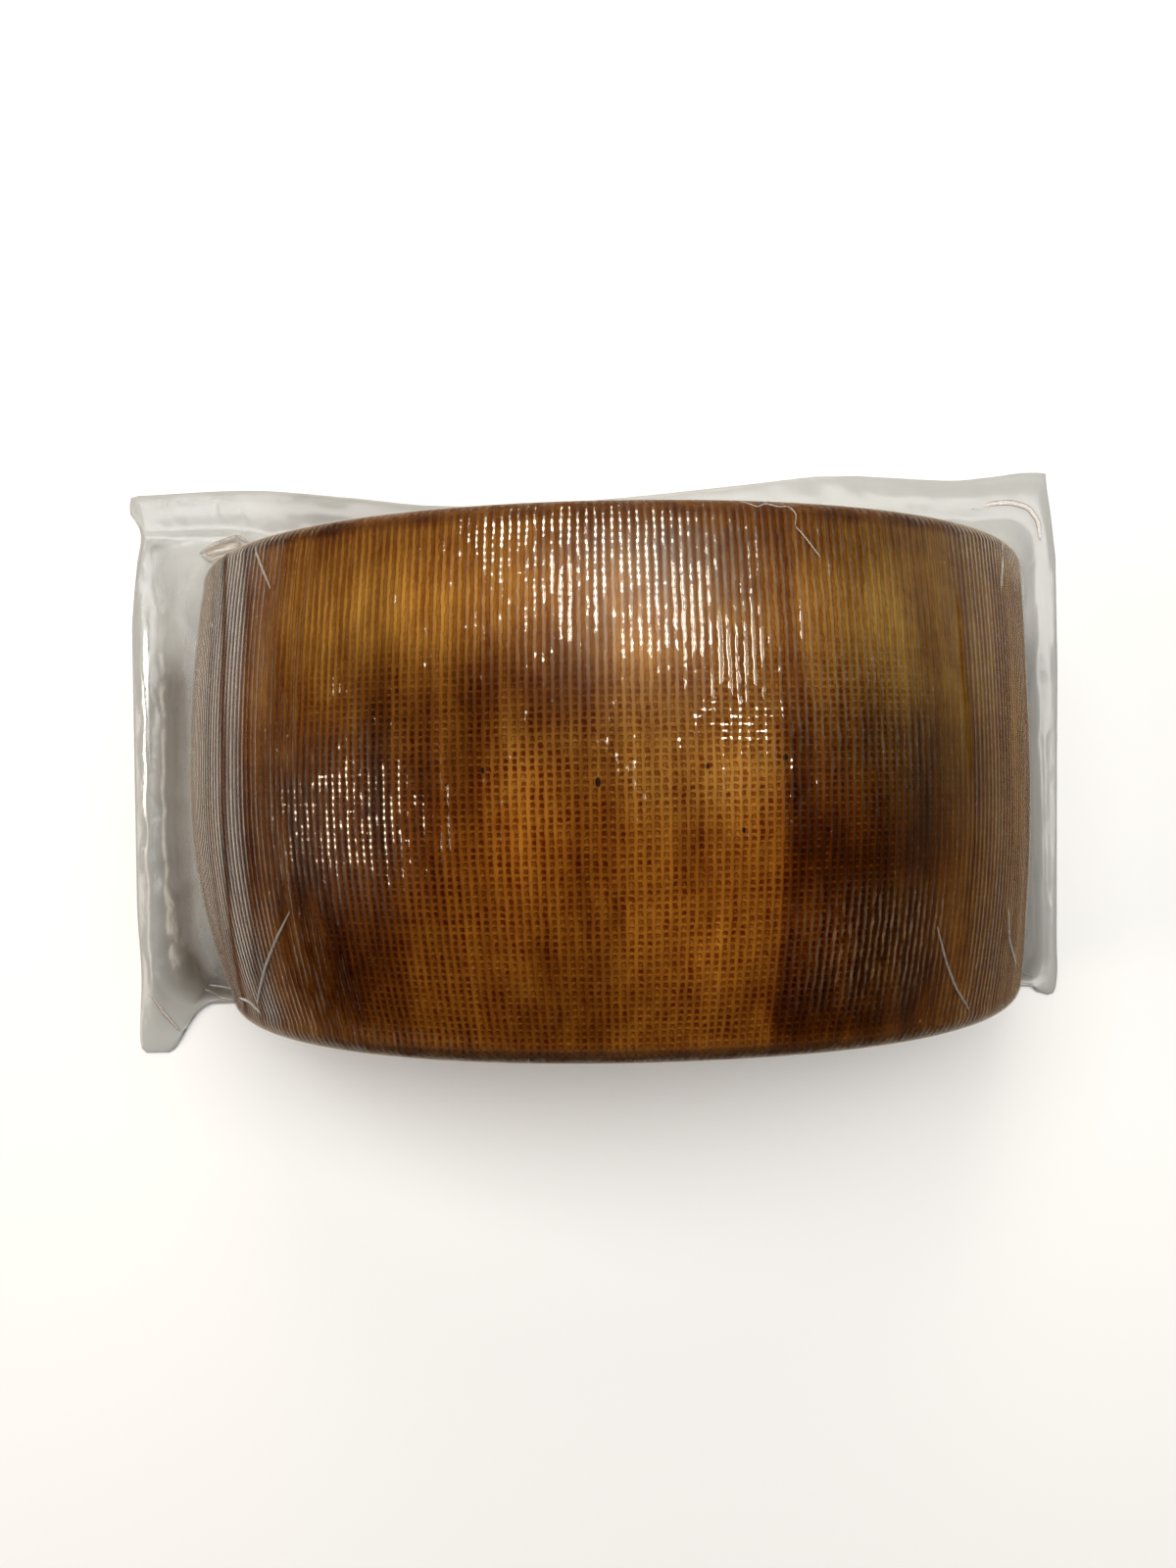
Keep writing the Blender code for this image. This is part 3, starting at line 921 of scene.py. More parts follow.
def milk_and_sheen_at(angle, y_mm):
    """Share of milk in the clinging film, mostly painted sheen: most on the upper crown and left flank.

    A trace of real milk lies everywhere. The painted sheen is a glow round the crown's glints, a little
    more over the left glints, and a pale reflection on both flanks and at the top rim.
    """
    crown = 0.145 * spot(angle, y_mm, *SHEEN_ON_CROWN) * (1.0 - 0.7 * rising(y_mm, 43.0, 4.0))
    cluster = 0.03 * spot(angle, y_mm, *SHEEN_ON_CLUSTER)
    right = 0.006 * rising(angle, 8.0, 22.0) * rising(y_mm, -10.0, 40.0)
    right = right + 0.011 * rising(angle, 27.0, 8.0) * (1.0 + rising(y_mm, 22.0, 14.0))
    flanks = 0.018 * rising(np.abs(angle), 36.0, 10.0) * (1.0 + 1.6 * rising(y_mm, 6.0, 25.0))
    left = 0.135 * falling(angle, -44.8, 2.6) * (1.0 - 0.3 * falling(y_mm, -10.0, 30.0))
    veil = 0.002 + crown + cluster + right + flanks + left + 0.004 * rising(y_mm, 42.0, 4.0)
    return veil * wet_lines_at(angle, y_mm)


def cool_at(angle, y_mm):
    """How cool the film's painted sheen is: fully on the flanks, mostly on the upper crown."""
    crown = 0.8 * spot(angle, y_mm, *COOL_CROWN)
    return np.maximum(rising(np.abs(angle), 36.0, 12.0), crown)


def dusky_at(angle, y_mm):
    """How brown the film's painted sheen is: fully low on the right, short of the flank."""
    return rising(angle, 14.0, 8.0) * falling(angle, 50.0, 10.0) * falling(y_mm, -6.0, 12.0)


def slick_at(angle, y_mm):
    """How much the film mirrors at a slant: more towards the left flank, less on its far end.

    Less on the right as well, but for the top rim, at the upper left and along the wet lines.
    """
    right = rising(angle, 13.0, 16.0) * (1.0 - rising(y_mm, 37.0, 10.0))
    left = 0.3 * falling(angle, -25.0, 15.0) * (1.0 - 0.9 * falling(angle, -51.0, 5.0))
    slick = 1.0 - 0.62 * right + left + 0.15 * hill((angle + 47.6) / 1.6)
    slick = slick * (1.0 - 0.35 * rising(angle, 48.0, 8.0)) * (1.0 - 0.40 * falling(angle, -51.0, 4.0))
    slick = slick * (1.0 - 0.35 * falling(y_mm, -22.0, 14.0) * falling(angle, -40.0, 6.0))
    slick = slick * (1.0 - 0.45 * spot(angle, y_mm, *LESS_SLICK_UPPER_LEFT))
    return slick * wet_lines_at(angle, y_mm)


RIND_COLUMNS_PER_RIB = 4
RIND_SIDE_ROWS = 84
RIND_ROUND_ROWS = 5
RIND_FACE_ROWS = 9
RIND_EDGE_WIDTH = 7.0 * MM


def make_cheese_body():
    """The half wheel as one closed body: its rind, its two flat faces and its cut face.

    Rind: the profile turned about the axis, lowered between the cloth's ribs by a cosine and by
    slow dents. Cut face: every column across keeps its share of the profile's width, so that its
    outer points are the rind's own.
    """
    size = sizes()
    columns = RIND_COLUMNS_PER_RIB * size.rib_count + 1
    inset, y, share = wheel_profile(RIND_SIDE_ROWS, RIND_ROUND_ROWS, RIND_FACE_ROWS)
    rows = len(y)
    turn = np.linspace(math.pi, 0.0, columns)[None, :]
    inset, y, share = inset[:, None], y[:, None], share[:, None]
    side = side_share(y)
    angle, y_mm = np.broadcast_arrays(90.0 - np.degrees(turn), y / MM)
    valley = 0.5 - 0.5 * np.cos(2.0 * math.pi * (turn / math.pi * size.rib_count))
    dents = 0.10 * MM * (1.0 + wander(angle * 0.35 + 40.0, y_mm * 0.10 + 40.0, 3))
    settle = np.clip(np.minimum(turn, math.pi - turn) / math.radians(2.0), 0.0, 1.0)
    lowered = size.film_gap + size.rib_depth * valley * side + dents * side
    lowered = size.film_gap + (lowered - size.film_gap) * (0.35 + 0.65 * settle)
    points = wheel_surface(turn, inset, y, share, lowered)
    top, foot = RIND_FACE_ROWS, rows - RIND_FACE_ROWS
    points[:top, :, 1] -= size.film_gap
    points[foot:, :, 1] += size.film_gap
    faces = quads(rows, columns)
    face = face_tone(points[..., 0] / MM, points[..., 2] / MM)
    values = {
        "cloth": cloth_at(turn, y),
        "side": side + 0.0 * turn,
        "pit_share": side_to_face(pit_share_at(angle, y_mm), 1.0, side),
        "ripening": side_to_face(ripening_at(angle, y_mm), face, side),
        "oil": side_to_face(oil_at(angle, y_mm), 0.3, side),
        "olive": side_to_face(olive_at(angle, y_mm), 0.3, side),
        "rim_share": np.zeros(face.shape),
    }

    radii = np.abs(points[: top + 1, -1, 0]) / abs(points[top, -1, 0])
    across = np.concatenate([-radii[::-1], radii[1:]])[None, :]
    middle = slice(top, foot)
    right = points[middle, -1, 0][:, None]
    left = points[middle, 0, 0][:, None]
    cut_x = np.where(across > 0.0, across * right, -across * left)
    cut_y = points[middle, 0, 1][:, None] + 0.0 * cut_x
    cut = np.stack([cut_x, cut_y, np.full(cut_x.shape, CUT_HEIGHT)], -1)
    cut_faces = quads(*cut_x.shape, first=face.size)
    edge = np.minimum(np.abs(cut_x) / np.maximum(np.abs(right), 1e-6), 1.0)
    depth = np.minimum((1.0 - edge) * size.wheel_radius, size.half_height - np.abs(cut_y))
    none = np.zeros(cut_x.shape)
    cut_values = {
        "cloth": np.zeros(cut.shape), "side": none, "pit_share": none, "ripening": none + 0.4,
        "oil": none, "olive": none, "rim_share": 1.0 - np.clip(depth / RIND_EDGE_WIDTH, 0.0, 1.0),
    }  # fmt: skip
    look = bpy.context.scene.rind_look
    return build(
        "cheese_body",
        np.concatenate([points.reshape(-1, 3), cut.reshape(-1, 3)]),
        np.concatenate([faces, cut_faces]),
        {key: np.concatenate([values[key].ravel(), cut_values[key].ravel()]) for key in values},
        (rind_material(look), paste_material(look)),
        np.concatenate([np.zeros(len(faces)), np.ones(len(cut_faces))]),
    )


# ---------------------------------------------------------------- loops of the bag


def passed_along(loop):
    """A loop's corners with the first one again at the end, and the length passed at each."""
    closed = np.concatenate([loop, loop[:1]])
    return closed, np.concatenate([[0.0], np.cumsum(np.hypot(*np.diff(closed, axis=0).T))])


def point_on_loop(loop, share):
    """Points at shares of a closed loop's length."""
    closed, passed = passed_along(loop)
    wanted = (share % 1.0) * passed[-1]
    return np.stack([np.interp(wanted, passed, closed[:, k]) for k in (0, 1)], -1)


def place_on_loop(loop, point):
    """How far along a closed loop, as a share of its length, a point lies nearest."""
    _, passed = passed_along(loop)
    return passed[np.argmin(np.hypot(loop[:, 0] - point[0], loop[:, 1] - point[1]))] / passed[-1]


def smooth_loop(points, steps):
    """Closed Catmull-Rom curve through points: a cubic between each two, its slope half the chord."""
    t = (np.arange(steps) / steps)[None, :, None]
    before, here, after, later = (np.roll(points, -k, axis=0)[:, None, :] for k in (-1, 0, 1, 2))
    bend = 2 * before - 5 * here + 4 * after - later
    twist = 3 * here - before - 3 * after + later
    return (here + 0.5 * ((after - before) * t + bend * t**2 + twist * t**3)).reshape(-1, 2)


def rounded_box(left, right, bottom, top, radius, steps=12):
    """A box's outline anticlockwise, with each corner an arc."""
    centres = np.array([
        (right - radius, top - radius), (left + radius, top - radius),
        (left + radius, bottom + radius), (right - radius, bottom + radius),
    ])  # fmt: skip
    turn = math.pi / 2.0 * (np.arange(4)[:, None] + np.linspace(0.0, 1.0, steps + 1)[None, :])
    arc = np.stack([np.cos(turn), np.sin(turn)], -1) * radius
    return (centres[:, None, :] + arc).reshape(-1, 2)


def inside_wheel(x, y, z):
    """Whether points above the cut lie inside the smooth wheel."""
    turn = np.arctan2(z, x)
    reach = section_radius(turn) - rim_inset(y) - taper_at(turn, y)
    return (np.abs(y) < sizes().half_height) & (np.hypot(x, z) < reach)


def reach_of_wheel(start, heading, z):
    """How far the wheel reaches from its spine along level headings, halving the gap each time."""
    near = np.zeros(len(start))
    far = np.full(len(start), 2.0 * sizes().wheel_radius)
    for _ in range(40):
        middle = 0.5 * (near + far)
        inside = inside_wheel(start + heading[:, 0] * middle, heading[:, 1] * middle, z - CUT_HEIGHT)
        near = np.where(inside, middle, near)
        far = np.where(inside, far, middle)
    return near


def reach_of_border(border, start, heading):
    """How far the border reaches from the spine along level headings: the nearest crossed side."""
    a = border[None, :, :]
    side = (np.roll(border, -1, axis=0) - border)[None, :, :]
    x, y = heading[:, 0][:, None], heading[:, 1][:, None]
    cross = x * side[..., 1] - y * side[..., 0]
    cross = np.where(np.abs(cross) < 1e-12, 1e-12, cross)
    offset_x, offset_y = a[..., 0] - start[:, None], a[..., 1]
    reach = (offset_x * side[..., 1] - offset_y * side[..., 0]) / cross
    share = (offset_x * y - offset_y * x) / cross
    met = (reach > 0.0) & (share >= 0.0) & (share <= 1.0)
    return np.where(met, reach, 1e9).min(axis=1)


class BagLoops:
    """The bag's three loops, column by column: contact on the rind, foot of the slope, outer edge."""

    def __init__(self, columns):
        """The border follows its named places on the foot, and both are spaced evenly between them."""
        border = smooth_loop(np.array(BORDER_MM) * MM, 16)
        low, high = (np.array(corner[:2]) for corner in CAD_BOX)
        border = np.clip(border, low + BORDER_MARGIN, high - BORDER_MARGIN)
        foot = rounded_box(FOOT_LEFT, FOOT_RIGHT, FOOT_BOTTOM, FOOT_TOP, FOOT_ROUND)
        evenly = np.arange(columns) / columns
        even = point_on_loop(foot, evenly)
        self.start = SPINE_SHARE * even[:, 0]
        away = np.stack([even[:, 0] - self.start, even[:, 1]], -1)
        length = np.hypot(away[:, 0], away[:, 1])
        self.heading = away / length[:, None]
        across = self.heading[:, 0] ** 2
        along = np.where(self.heading[:, 1] > 0.0, TOP_HEIGHT, BOTTOM_HEIGHT)
        self.height = SIDE_HEIGHT * across + along * (1.0 - across)
        self.low = np.minimum(length, reach_of_border(border, self.start, self.heading) - FOOT_MARGIN)
        self.high = reach_of_wheel(self.start, self.heading, self.height)
        self.foot = self.at(self.low)
        self.contact = self.at(self.high)
        fine_foot = point_on_loop(foot, np.arange(4000) / 4000)
        pairs = sorted(
            (place_on_loop(fine_foot, np.array(a) * MM), place_on_loop(border, np.array(b) * MM))
            for a, b in FOOT_TO_BORDER_MM
        )
        foot_share = np.array([pair[0] for pair in pairs])
        border_share = np.unwrap(np.array([pair[1] for pair in pairs]), period=1.0)
        foot_share = np.concatenate([foot_share[-1:] - 1.0, foot_share, foot_share[:1] + 1.0])
        border_share = np.concatenate([border_share[-1:] - 1.0, border_share, border_share[:1] + 1.0])
        self.border = point_on_loop(border, np.interp(evenly, foot_share, border_share))

    def at(self, reach):
        """Level points at a reach along every heading."""
        x = self.start + self.heading[:, 0] * reach
        return np.stack([x, self.heading[:, 1] * reach], -1)

    def contact_height(self, x, y):
        """How high the film leaves the rind, in the direction of level points seen from the middle."""
        bearing = np.arctan2(self.contact[:, 1], self.contact[:, 0])
        order = np.argsort(bearing)
        wanted = np.arctan2(y, x)
        return np.interp(wanted, bearing[order], self.height[order], period=2.0 * math.pi)


# ---------------------------------------------------------------- the film

FILM_COLUMNS_PER_RIB = 3
FILM_SIDE_ROWS = 120
FILM_ROUND_ROWS = 6
FILM_FACE_ROWS = 8
FILM_OVERLAP = 0.6 * MM
BORDER_COLUMNS = 720


def make_clinging_film():
    """Film over the rind and the flat faces, down to where it leaves them for the border.

    The wheel's own surface, with slow pulls between the ribs. Points below the film's contact line
    move along the surface up to it, and quads wholly below it are left out.
    """
    columns = FILM_COLUMNS_PER_RIB * sizes().rib_count + 1
    inset, y, share = wheel_profile(FILM_SIDE_ROWS, FILM_ROUND_ROWS, FILM_FACE_ROWS)
    inset, y, share = inset[:, None], y[:, None], share[:, None]
    turn = np.linspace(math.pi, 0.0, columns)[None, :]
    side = side_share(y)
    angle, y_mm = np.broadcast_arrays(90.0 - np.degrees(turn), y / MM)
    pulls = 0.03 * MM * (1.0 + wander(angle * 0.5 + 120.0, y_mm * 0.08 + 40.0, 13))
    points = wheel_surface(turn, inset, y, share, 0.01 * MM + pulls * side)

    loops = BagLoops(BORDER_COLUMNS)
    level = loops.contact_height(points[..., 0], points[..., 1]) - FILM_OVERLAP
    below = points[..., 2] < level
    radius = np.hypot(points[..., 0], points[..., 2] - CUT_HEIGHT)
    sine = np.clip((level - CUT_HEIGHT) / np.maximum(radius, 1e-6), -1.0, 1.0)
    slid = np.copysign(radius * np.sqrt(1.0 - sine * sine), points[..., 0])
    points[..., 0] = np.where((share > 0.999) & below, slid, points[..., 0])
    points[..., 2] = np.where(below, level, points[..., 2])
    faces = quads(*below.shape)
    kept = ~below.reshape(-1)[faces].all(axis=1)

    taut, beads, hollow, bright = glints_at(angle, y_mm)
    values = {
        "cloth": cloth_at(turn, y),
        "side": side + 0.0 * turn,
        "glint": side_to_face(taut, 0.0, side),
        "beads": beads,
        "hollow": hollow,
        "bright": bright,
        "cool": side_to_face(cool_at(angle, y_mm), 0.5, side),
        "dusky": side_to_face(dusky_at(angle, y_mm), 0.0, side),
        "frost": side_to_face(dull_sheen_at(angle, y_mm), 0.0, side),
        "veil": side_to_face(milk_and_sheen_at(angle, y_mm), 0.03, side),
        "slick": side_to_face(slick_at(angle, y_mm), 0.8, side),
    }
    material = clinging_film_material(bpy.context.scene.film_look)
    return build("film_on_rind", points, faces[kept], values, (material,))


SLOPE_ROWS = 26
FLAT_ROWS = 14
EDGE_ROWS = 4
UNDER_ROWS = 6
FLOOR_ROWS = 16
FOLDED_EDGE_MIDDLE = 0.35 * MM
FOLDED_EDGE_HALF = 0.27 * MM
BACK_SHEET_LIFT = 0.06 * MM


def bead_at(points):
    """Height of the rolled left edge and of the fold across the upper left corner, in metres."""
    x, y = points[:, 0] / MM, points[:, 1] / MM
    roll = 1.3 * hill((x + 115.9 + 0.012 * y) / 2.3) * falling(y, 52.0, 14.0) * rising(y, -60.0, 14.0)
    fold = 0.9 * hill((y - 64.5 - 0.02 * (x + 110.0)) / 1.5) * falling(x, -84.0, 14.0)
    return (roll + fold) * MM


def bead_glint(points):
    """1 along the light on the rolled left edge, 0 elsewhere."""
    x, y = points[:, 0] / MM, points[:, 1] / MM
    length = falling(y, 43.0, 8.0) * rising(y, -9.0, 8.0)
    line = hill((x + 116.6 + 0.035 * (20.0 - y)) / 0.55) * length
    lower_spot = hill(np.hypot(x + 117.6, (y + 14.0) / 2.0) / 0.5)
    upper_spot = 0.6 * hill(np.hypot(x + 117.4, (y + 3.0) / 3.0) / 0.6)
    return np.maximum(line, np.maximum(lower_spot, upper_spot))


def shade_at(points):
    """How strong the painted shade near the rind is: fully at both sides, hardly at the upper corners.
    """
    x, y = points[:, 0] / MM, points[:, 1] / MM
    return np.clip(0.06 + 0.94 * falling(y, 44.0, 18.0), 0.0, 1.0) * (1.0 - 0.25 * eased(x / 60.0))


def wedge_shade_at(points):
    """How strong the painted shade is where the border narrows to a wedge over the upper left rim."""
    x, y = points[:, 0] / MM, points[:, 1] / MM
    return 0.42 * rising(x, -92.0, 20.0) * falling(x, -14.0, 24.0) * rising(y, 40.0, 8.0)


def clear_at(points):
    """How much clearer the border is at its upper left corner."""
    x, y = points[:, 0] / MM, points[:, 1] / MM
    return 0.5 * rising(y, 40.0, 14.0) * falling(x, -84.0, 14.0)


def make_border():
    """The bag away from the cheese: its slope, its flat border, its edge and its back sheet.

    Rings of points run from the contact line down the slope (a power of the share, so that it sags),
    over the flat border, round the folded edge and back under the cheese to the middle.
    """
    loops = BagLoops(BORDER_COLUMNS)
    run = np.arange(BORDER_COLUMNS) / BORDER_COLUMNS * 96.0
    rings, near, clear, glint = [], [], [], []

    def ring(points, z, near_rind, clear_share, upper=0.0):
        """A ring of points, its painted shade, and how clear and bright it is; upper is 1 on the upper
        layer.
        """
        rings.append(np.column_stack([points, z + bead_at(points) * upper]))
        dark = np.broadcast_to(near_rind, len(points)) * shade_at(points)
        near.append(np.maximum(dark, wedge_shade_at(points) * (upper > 0.0)))
        clear.append(np.maximum(clear_share, clear_at(points) * upper))
        glint.append(bead_glint(points) * upper)

    def waves(stretch, row, seed, wrap):
        return wander(run * stretch, np.full(run.shape, row), seed, wrap=wrap)

    sideways = loops.heading[:, 0] ** 2
    for share in np.linspace(1.0, 0.0, SLOPE_ROWS + 1):
        reach = loops.low + (loops.high + 0.15 * MM - loops.low) * share
        rise = (loops.height - SHEET) * share**SLOPE_CURVE
        pleat = 0.7 * MM * waves(1.3, 3.0 + 1.5 * share, 21, 124)
        pleat = pleat * math.sin(math.pi * share) ** 0.7
        # Painted shade down the slope, strongest next to the rind, lighter where the film is drawn
        # clear
        dark = eased(share / 0.5) * 0.35 + 0.65 * eased((share + 0.25) / 0.45)
        drawn = eased((share - 0.30 - 0.36 * sideways) / 0.22) * (1.0 - 0.95 * sideways)
        clear_share = np.maximum(0.2 * share * (1.0 - 0.9 * sideways), 0.86 * drawn)
        dark = dark * (1.0 - 0.8 * drawn)
        ring(loops.at(reach), SHEET + rise + pleat, dark, clear_share, 1.0 - share)
    outward = loops.border - loops.foot
    for step in range(1, FLAT_ROWS + 1):
        share = step / (FLAT_ROWS + 1)
        swell = 0.45 * MM * math.sin(math.pi * share)
        wave = 0.35 * MM * waves(1.0, 9.0 + 2.0 * share, 22, 96)
        z = SHEET * (1.0 - 0.35 * share) + swell + wave * math.sin(math.pi * share)
        # Painted shade fading out over the inner part of the flat border
        ring(loops.foot + outward * share, z, 0.45 * max(0.0, 1.0 - share / 0.6), 0.0, 1.0 - share**4)
    length = np.maximum(np.hypot(outward[:, 0], outward[:, 1]), 0.5 * MM)[:, None]
    for step in range(EDGE_ROWS + 1):
        turn = math.pi * step / EDGE_ROWS
        back = 0.3 * MM * (1.0 - math.sin(turn))
        edge = loops.border - outward / length * back
        ring(edge, FOLDED_EDGE_MIDDLE + FOLDED_EDGE_HALF * math.cos(turn), 0.0, 0.0)
    for step in range(1, UNDER_ROWS + 1):
        share = step / UNDER_ROWS
        wave = 0.12 * MM * (1.0 + waves(1.0, 30.0 + 2.0 * share, 23, 96))
        ring(loops.border - outward * share, BACK_SHEET_LIFT + wave, 0.0, 0.0)
    for step in range(1, FLOOR_ROWS + 1):
        points = loops.foot * (1.0 - step / FLOOR_ROWS)
        x, y = points.T / MM * 0.12 + 80.0
        wave = 0.2 * MM * (1.0 + wander(x, y, 24)) * (step < FLOOR_ROWS)
        ring(points, BACK_SHEET_LIFT + wave, 0.0, 0.75)

    faces = quads(len(rings), BORDER_COLUMNS, around=True)
    values = {
        "near_rind": np.concatenate(near),
        "clear_share": np.concatenate(clear),
        "glint": np.concatenate(glint),
    }
    material = loose_film_material(bpy.context.scene.film_look)
    return build("film_border", np.concatenate(rings), faces, values, (material,))


# ---------------------------------------------------------------- creases

# Creases over the rind: half width and height in millimetres, then places as the angle from the
# crown in degrees and the place along the axis in millimetres
RIND_CREASES = {
    "upper left": (0.22, 0.25, ((-45.6, 48.3), (-44.7, 46.2), (-43.1, 42.9), (-41.1, 38.6))),
    "lower left": (
        0.28, 0.30, ((-38.3, -22.4), (-41.6, -28.0), (-45.5, -34.3), (-48.4, -39.0), (-51.4, -43.4)),
    ),
    "lower left hook": (0.30, 0.30, ((-58.5, -43.6), (-53.7, -43.3), (-51.2, -45.2))),
    "lower right": (
        0.20, 0.25, ((37.3, -27.4), (37.9, -29.4), (39.7, -34.8), (42.1, -40.0), (45.9, -45.4)),
    ),
    "tangle": (
        0.16, 0.20, (
            (14.2, 49.8), (15.1, 49.2), (15.9, 48.5), (16.9, 49.5), (18.4, 48.7), (19.5, 49.1),
            (20.1, 47.5), (19.8, 45.4),
        ),
    ),
    "tangle tail": (0.14, 0.18, ((19.8, 45.4), (20.9, 43.2), (22.5, 39.6))),
    "upper right edge": (0.20, 0.25, ((54.9, 48.3), (53.6, 43.6), (52.2, 37.9))),
    "lower right edge": (0.22, 0.25, ((52.8, -25.8), (54.6, -33.4), (59.4, -39.4))),
}  # fmt: skip

# Creases over the border: half width and height, then level places, all in millimetres
BORDER_CREASES = {
    "ear, upper edge": (0.6, 1.1, ((-101.5, 59.9), (-96.2, 63.0), (-92.3, 64.4), (-89.6, 62.9))),
    "ear, lower edge": (0.45, 0.8, ((-100.9, 59.2), (-98.1, 57.5), (-94.6, 58.6), (-91.4, 60.2))),
    "ear, pillow": (1.8, 1.3, ((-99.9, 59.9), (-96.0, 60.8), (-91.3, 62.4))),
    "lower left fold": (0.5, 0.6, ((-102.6, -49.6), (-100.7, -50.8), (-99.2, -52.1), (-95.1, -53.0))),
    "lower left second fold": (0.35, 0.4, ((-101.2, -48.4), (-98.5, -48.9), (-95.0, -49.6))),
    "tab fold": (0.5, 0.35, ((-116.6, -51.0), (-113.8, -55.5), (-109.7, -60.5))),
    "right top fold": (
        0.7, 0.08,
        ((93.7, 68.2), (98.9, 69.6), (103.6, 69.8), (108.0, 68.4), (110.4, 64.9), (110.8, 60.0)),
    ),
    "right low edge": (0.35, 0.4, ((99.6, -40.8), (101.3, -46.9), (104.4, -49.5), (107.0, -50.8))),
}  # fmt: skip

CREASE_STEPS = 48
CREASE_AROUND = 8
CREASE_WELD = 0.002 * MM


def places_on_rind(places):
    """Points of the clinging film and the ways out of it, at angles and places along the axis."""
    angle, y_mm = np.array(places).T
    turn, y = np.radians(90.0 - angle), y_mm * MM
    points = wheel_surface(turn, rim_inset(y), y, 1.0, 0.0)
    return points, np.stack([np.cos(turn), 0.0 * turn, np.sin(turn)], -1)


def places_on_border(tree, places):
    """Points of the border straight below level places, and the ways up from it."""
    down = Vector((0.0, 0.0, -1.0))
    found = [tree.ray_cast(Vector((x * MM, y * MM, 0.2)), down)[:2] for x, y in places]
    return np.array([hit for hit, _ in found]), np.array([normal for _, normal in found])


def ridge(points, ways_out, half_width, height):
    """A thin ridge: an ellipse carried along a run of points, drawn to a point at both ends."""
    passed = np.concatenate([[0.0], np.cumsum(np.linalg.norm(np.diff(points, axis=0), axis=1))])
    share = np.linspace(0.0, 1.0, CREASE_STEPS)
    wanted = share * passed[-1]
    centre = np.stack([np.interp(wanted, passed, points[:, k]) for k in range(3)], -1)
    up = np.stack([np.interp(wanted, passed, ways_out[:, k]) for k in range(3)], -1)
    smooth = np.array([0.25, 0.5, 0.25])
    for _ in range(6):
        for k in range(3):
            centre[1:-1, k] = np.convolve(centre[:, k], smooth, "valid")
    forward = np.gradient(centre, axis=0)
    across = np.cross(forward, up)
    across /= np.linalg.norm(across, axis=1)[:, None]
    up = np.cross(across, forward)
    up /= np.linalg.norm(up, axis=1)[:, None]
    size = (4.0 * share * (1.0 - share))[:, None, None] ** 0.4
    turn = (2.0 * math.pi * np.arange(CREASE_AROUND) / CREASE_AROUND)[None, :, None]
    wide = across[:, None, :] * half_width * np.cos(turn)
    return centre[:, None, :] + size * (wide + up[:, None, :] * height * np.sin(turn))


def make_creases(border):
    """Creases of the film: thin ridges along named runs over the rind and over the border."""
    tree = BVHTree.FromObject(border, bpy.context.evaluated_depsgraph_get())
    ridges = [
        ridge(*places_on_rind(places), half_width * MM, height * MM)
        for half_width, height, places in RIND_CREASES.values()
    ]
    ridges += [
        ridge(*places_on_border(tree, places), half_width * MM, height * MM)
        for half_width, height, places in BORDER_CREASES.values()
    ]
    size = CREASE_STEPS * CREASE_AROUND
    faces = [quads(CREASE_STEPS, CREASE_AROUND, True, number * size) for number in range(len(ridges))]
    material = crease_material(bpy.context.scene.film_look)
    parts = np.concatenate(ridges), np.concatenate(faces)
    return build("film_creases", *parts, {}, (material,), weld=CREASE_WELD)


# ---------------------------------------------------------------- the stage


FLOOR_SIDE = 3.0
FLOOR_DROP = 0.02 * MM
SKY_COLOUR = (0.97, 0.98, 1.0, 1.0)
SKY = 0.03

# Lamps: place, width and height in metres, power in watts, colour. The key lamp's place follows from
# its tilt away from straight above, and all of them face the middle of the cheese.
MIDDLE = Vector((0.0, 0.0, 0.09))
KEY_TILT = (6.0, 18.0)
KEY_DISTANCE = 0.85
KEY_WAY = Vector((*(math.tan(math.radians(tilt)) for tilt in KEY_TILT), 1.0)).normalized()
LAMPS = {
    "key lamp": (KEY_WAY * KEY_DISTANCE + MIDDLE, 1.48, 0.46, 13.0, (1.0, 0.985, 0.96)),
    "rim lamp": (Vector((0.02, 0.80, 0.45)), 0.34, 0.62, 2.6, (1.0, 0.91, 0.77)),
    "side lamp": (Vector((-0.90, -0.08, 0.50)), 0.50, 0.48, 4.4, (1.0, 0.88, 0.76)),
}

# Camera: straight above the pack, with its focus in photo pixels made into a lens
CAMERA_PLACE = (-4.955 * MM, 0.331 * MM, 300.0 * MM)
CAMERA_TURN = -0.0183
SENSOR = 36.0
FOCUS_PIXELS = 1202.0
PHOTO_PIXELS = 1600.0


def add_to_scene(name, data):
    made = bpy.data.objects.new(name, data)
    bpy.context.scene.collection.objects.link(made)
    return made


def area_lamp(name, place, width, height, power, colour):
    """A soft lamp that faces the middle of the cheese and isn't seen itself."""
    data = bpy.data.lights.new(name, "AREA")
    data.shape = "RECTANGLE"
    data.size, data.size_y = width, height
    data.energy = power
    data.color = colour
    lamp = add_to_scene(name, data)
    lamp.location = place
    lamp.rotation_euler = (MIDDLE - place).to_track_quat("-Z", "Y").to_euler()
    lamp.visible_camera = False


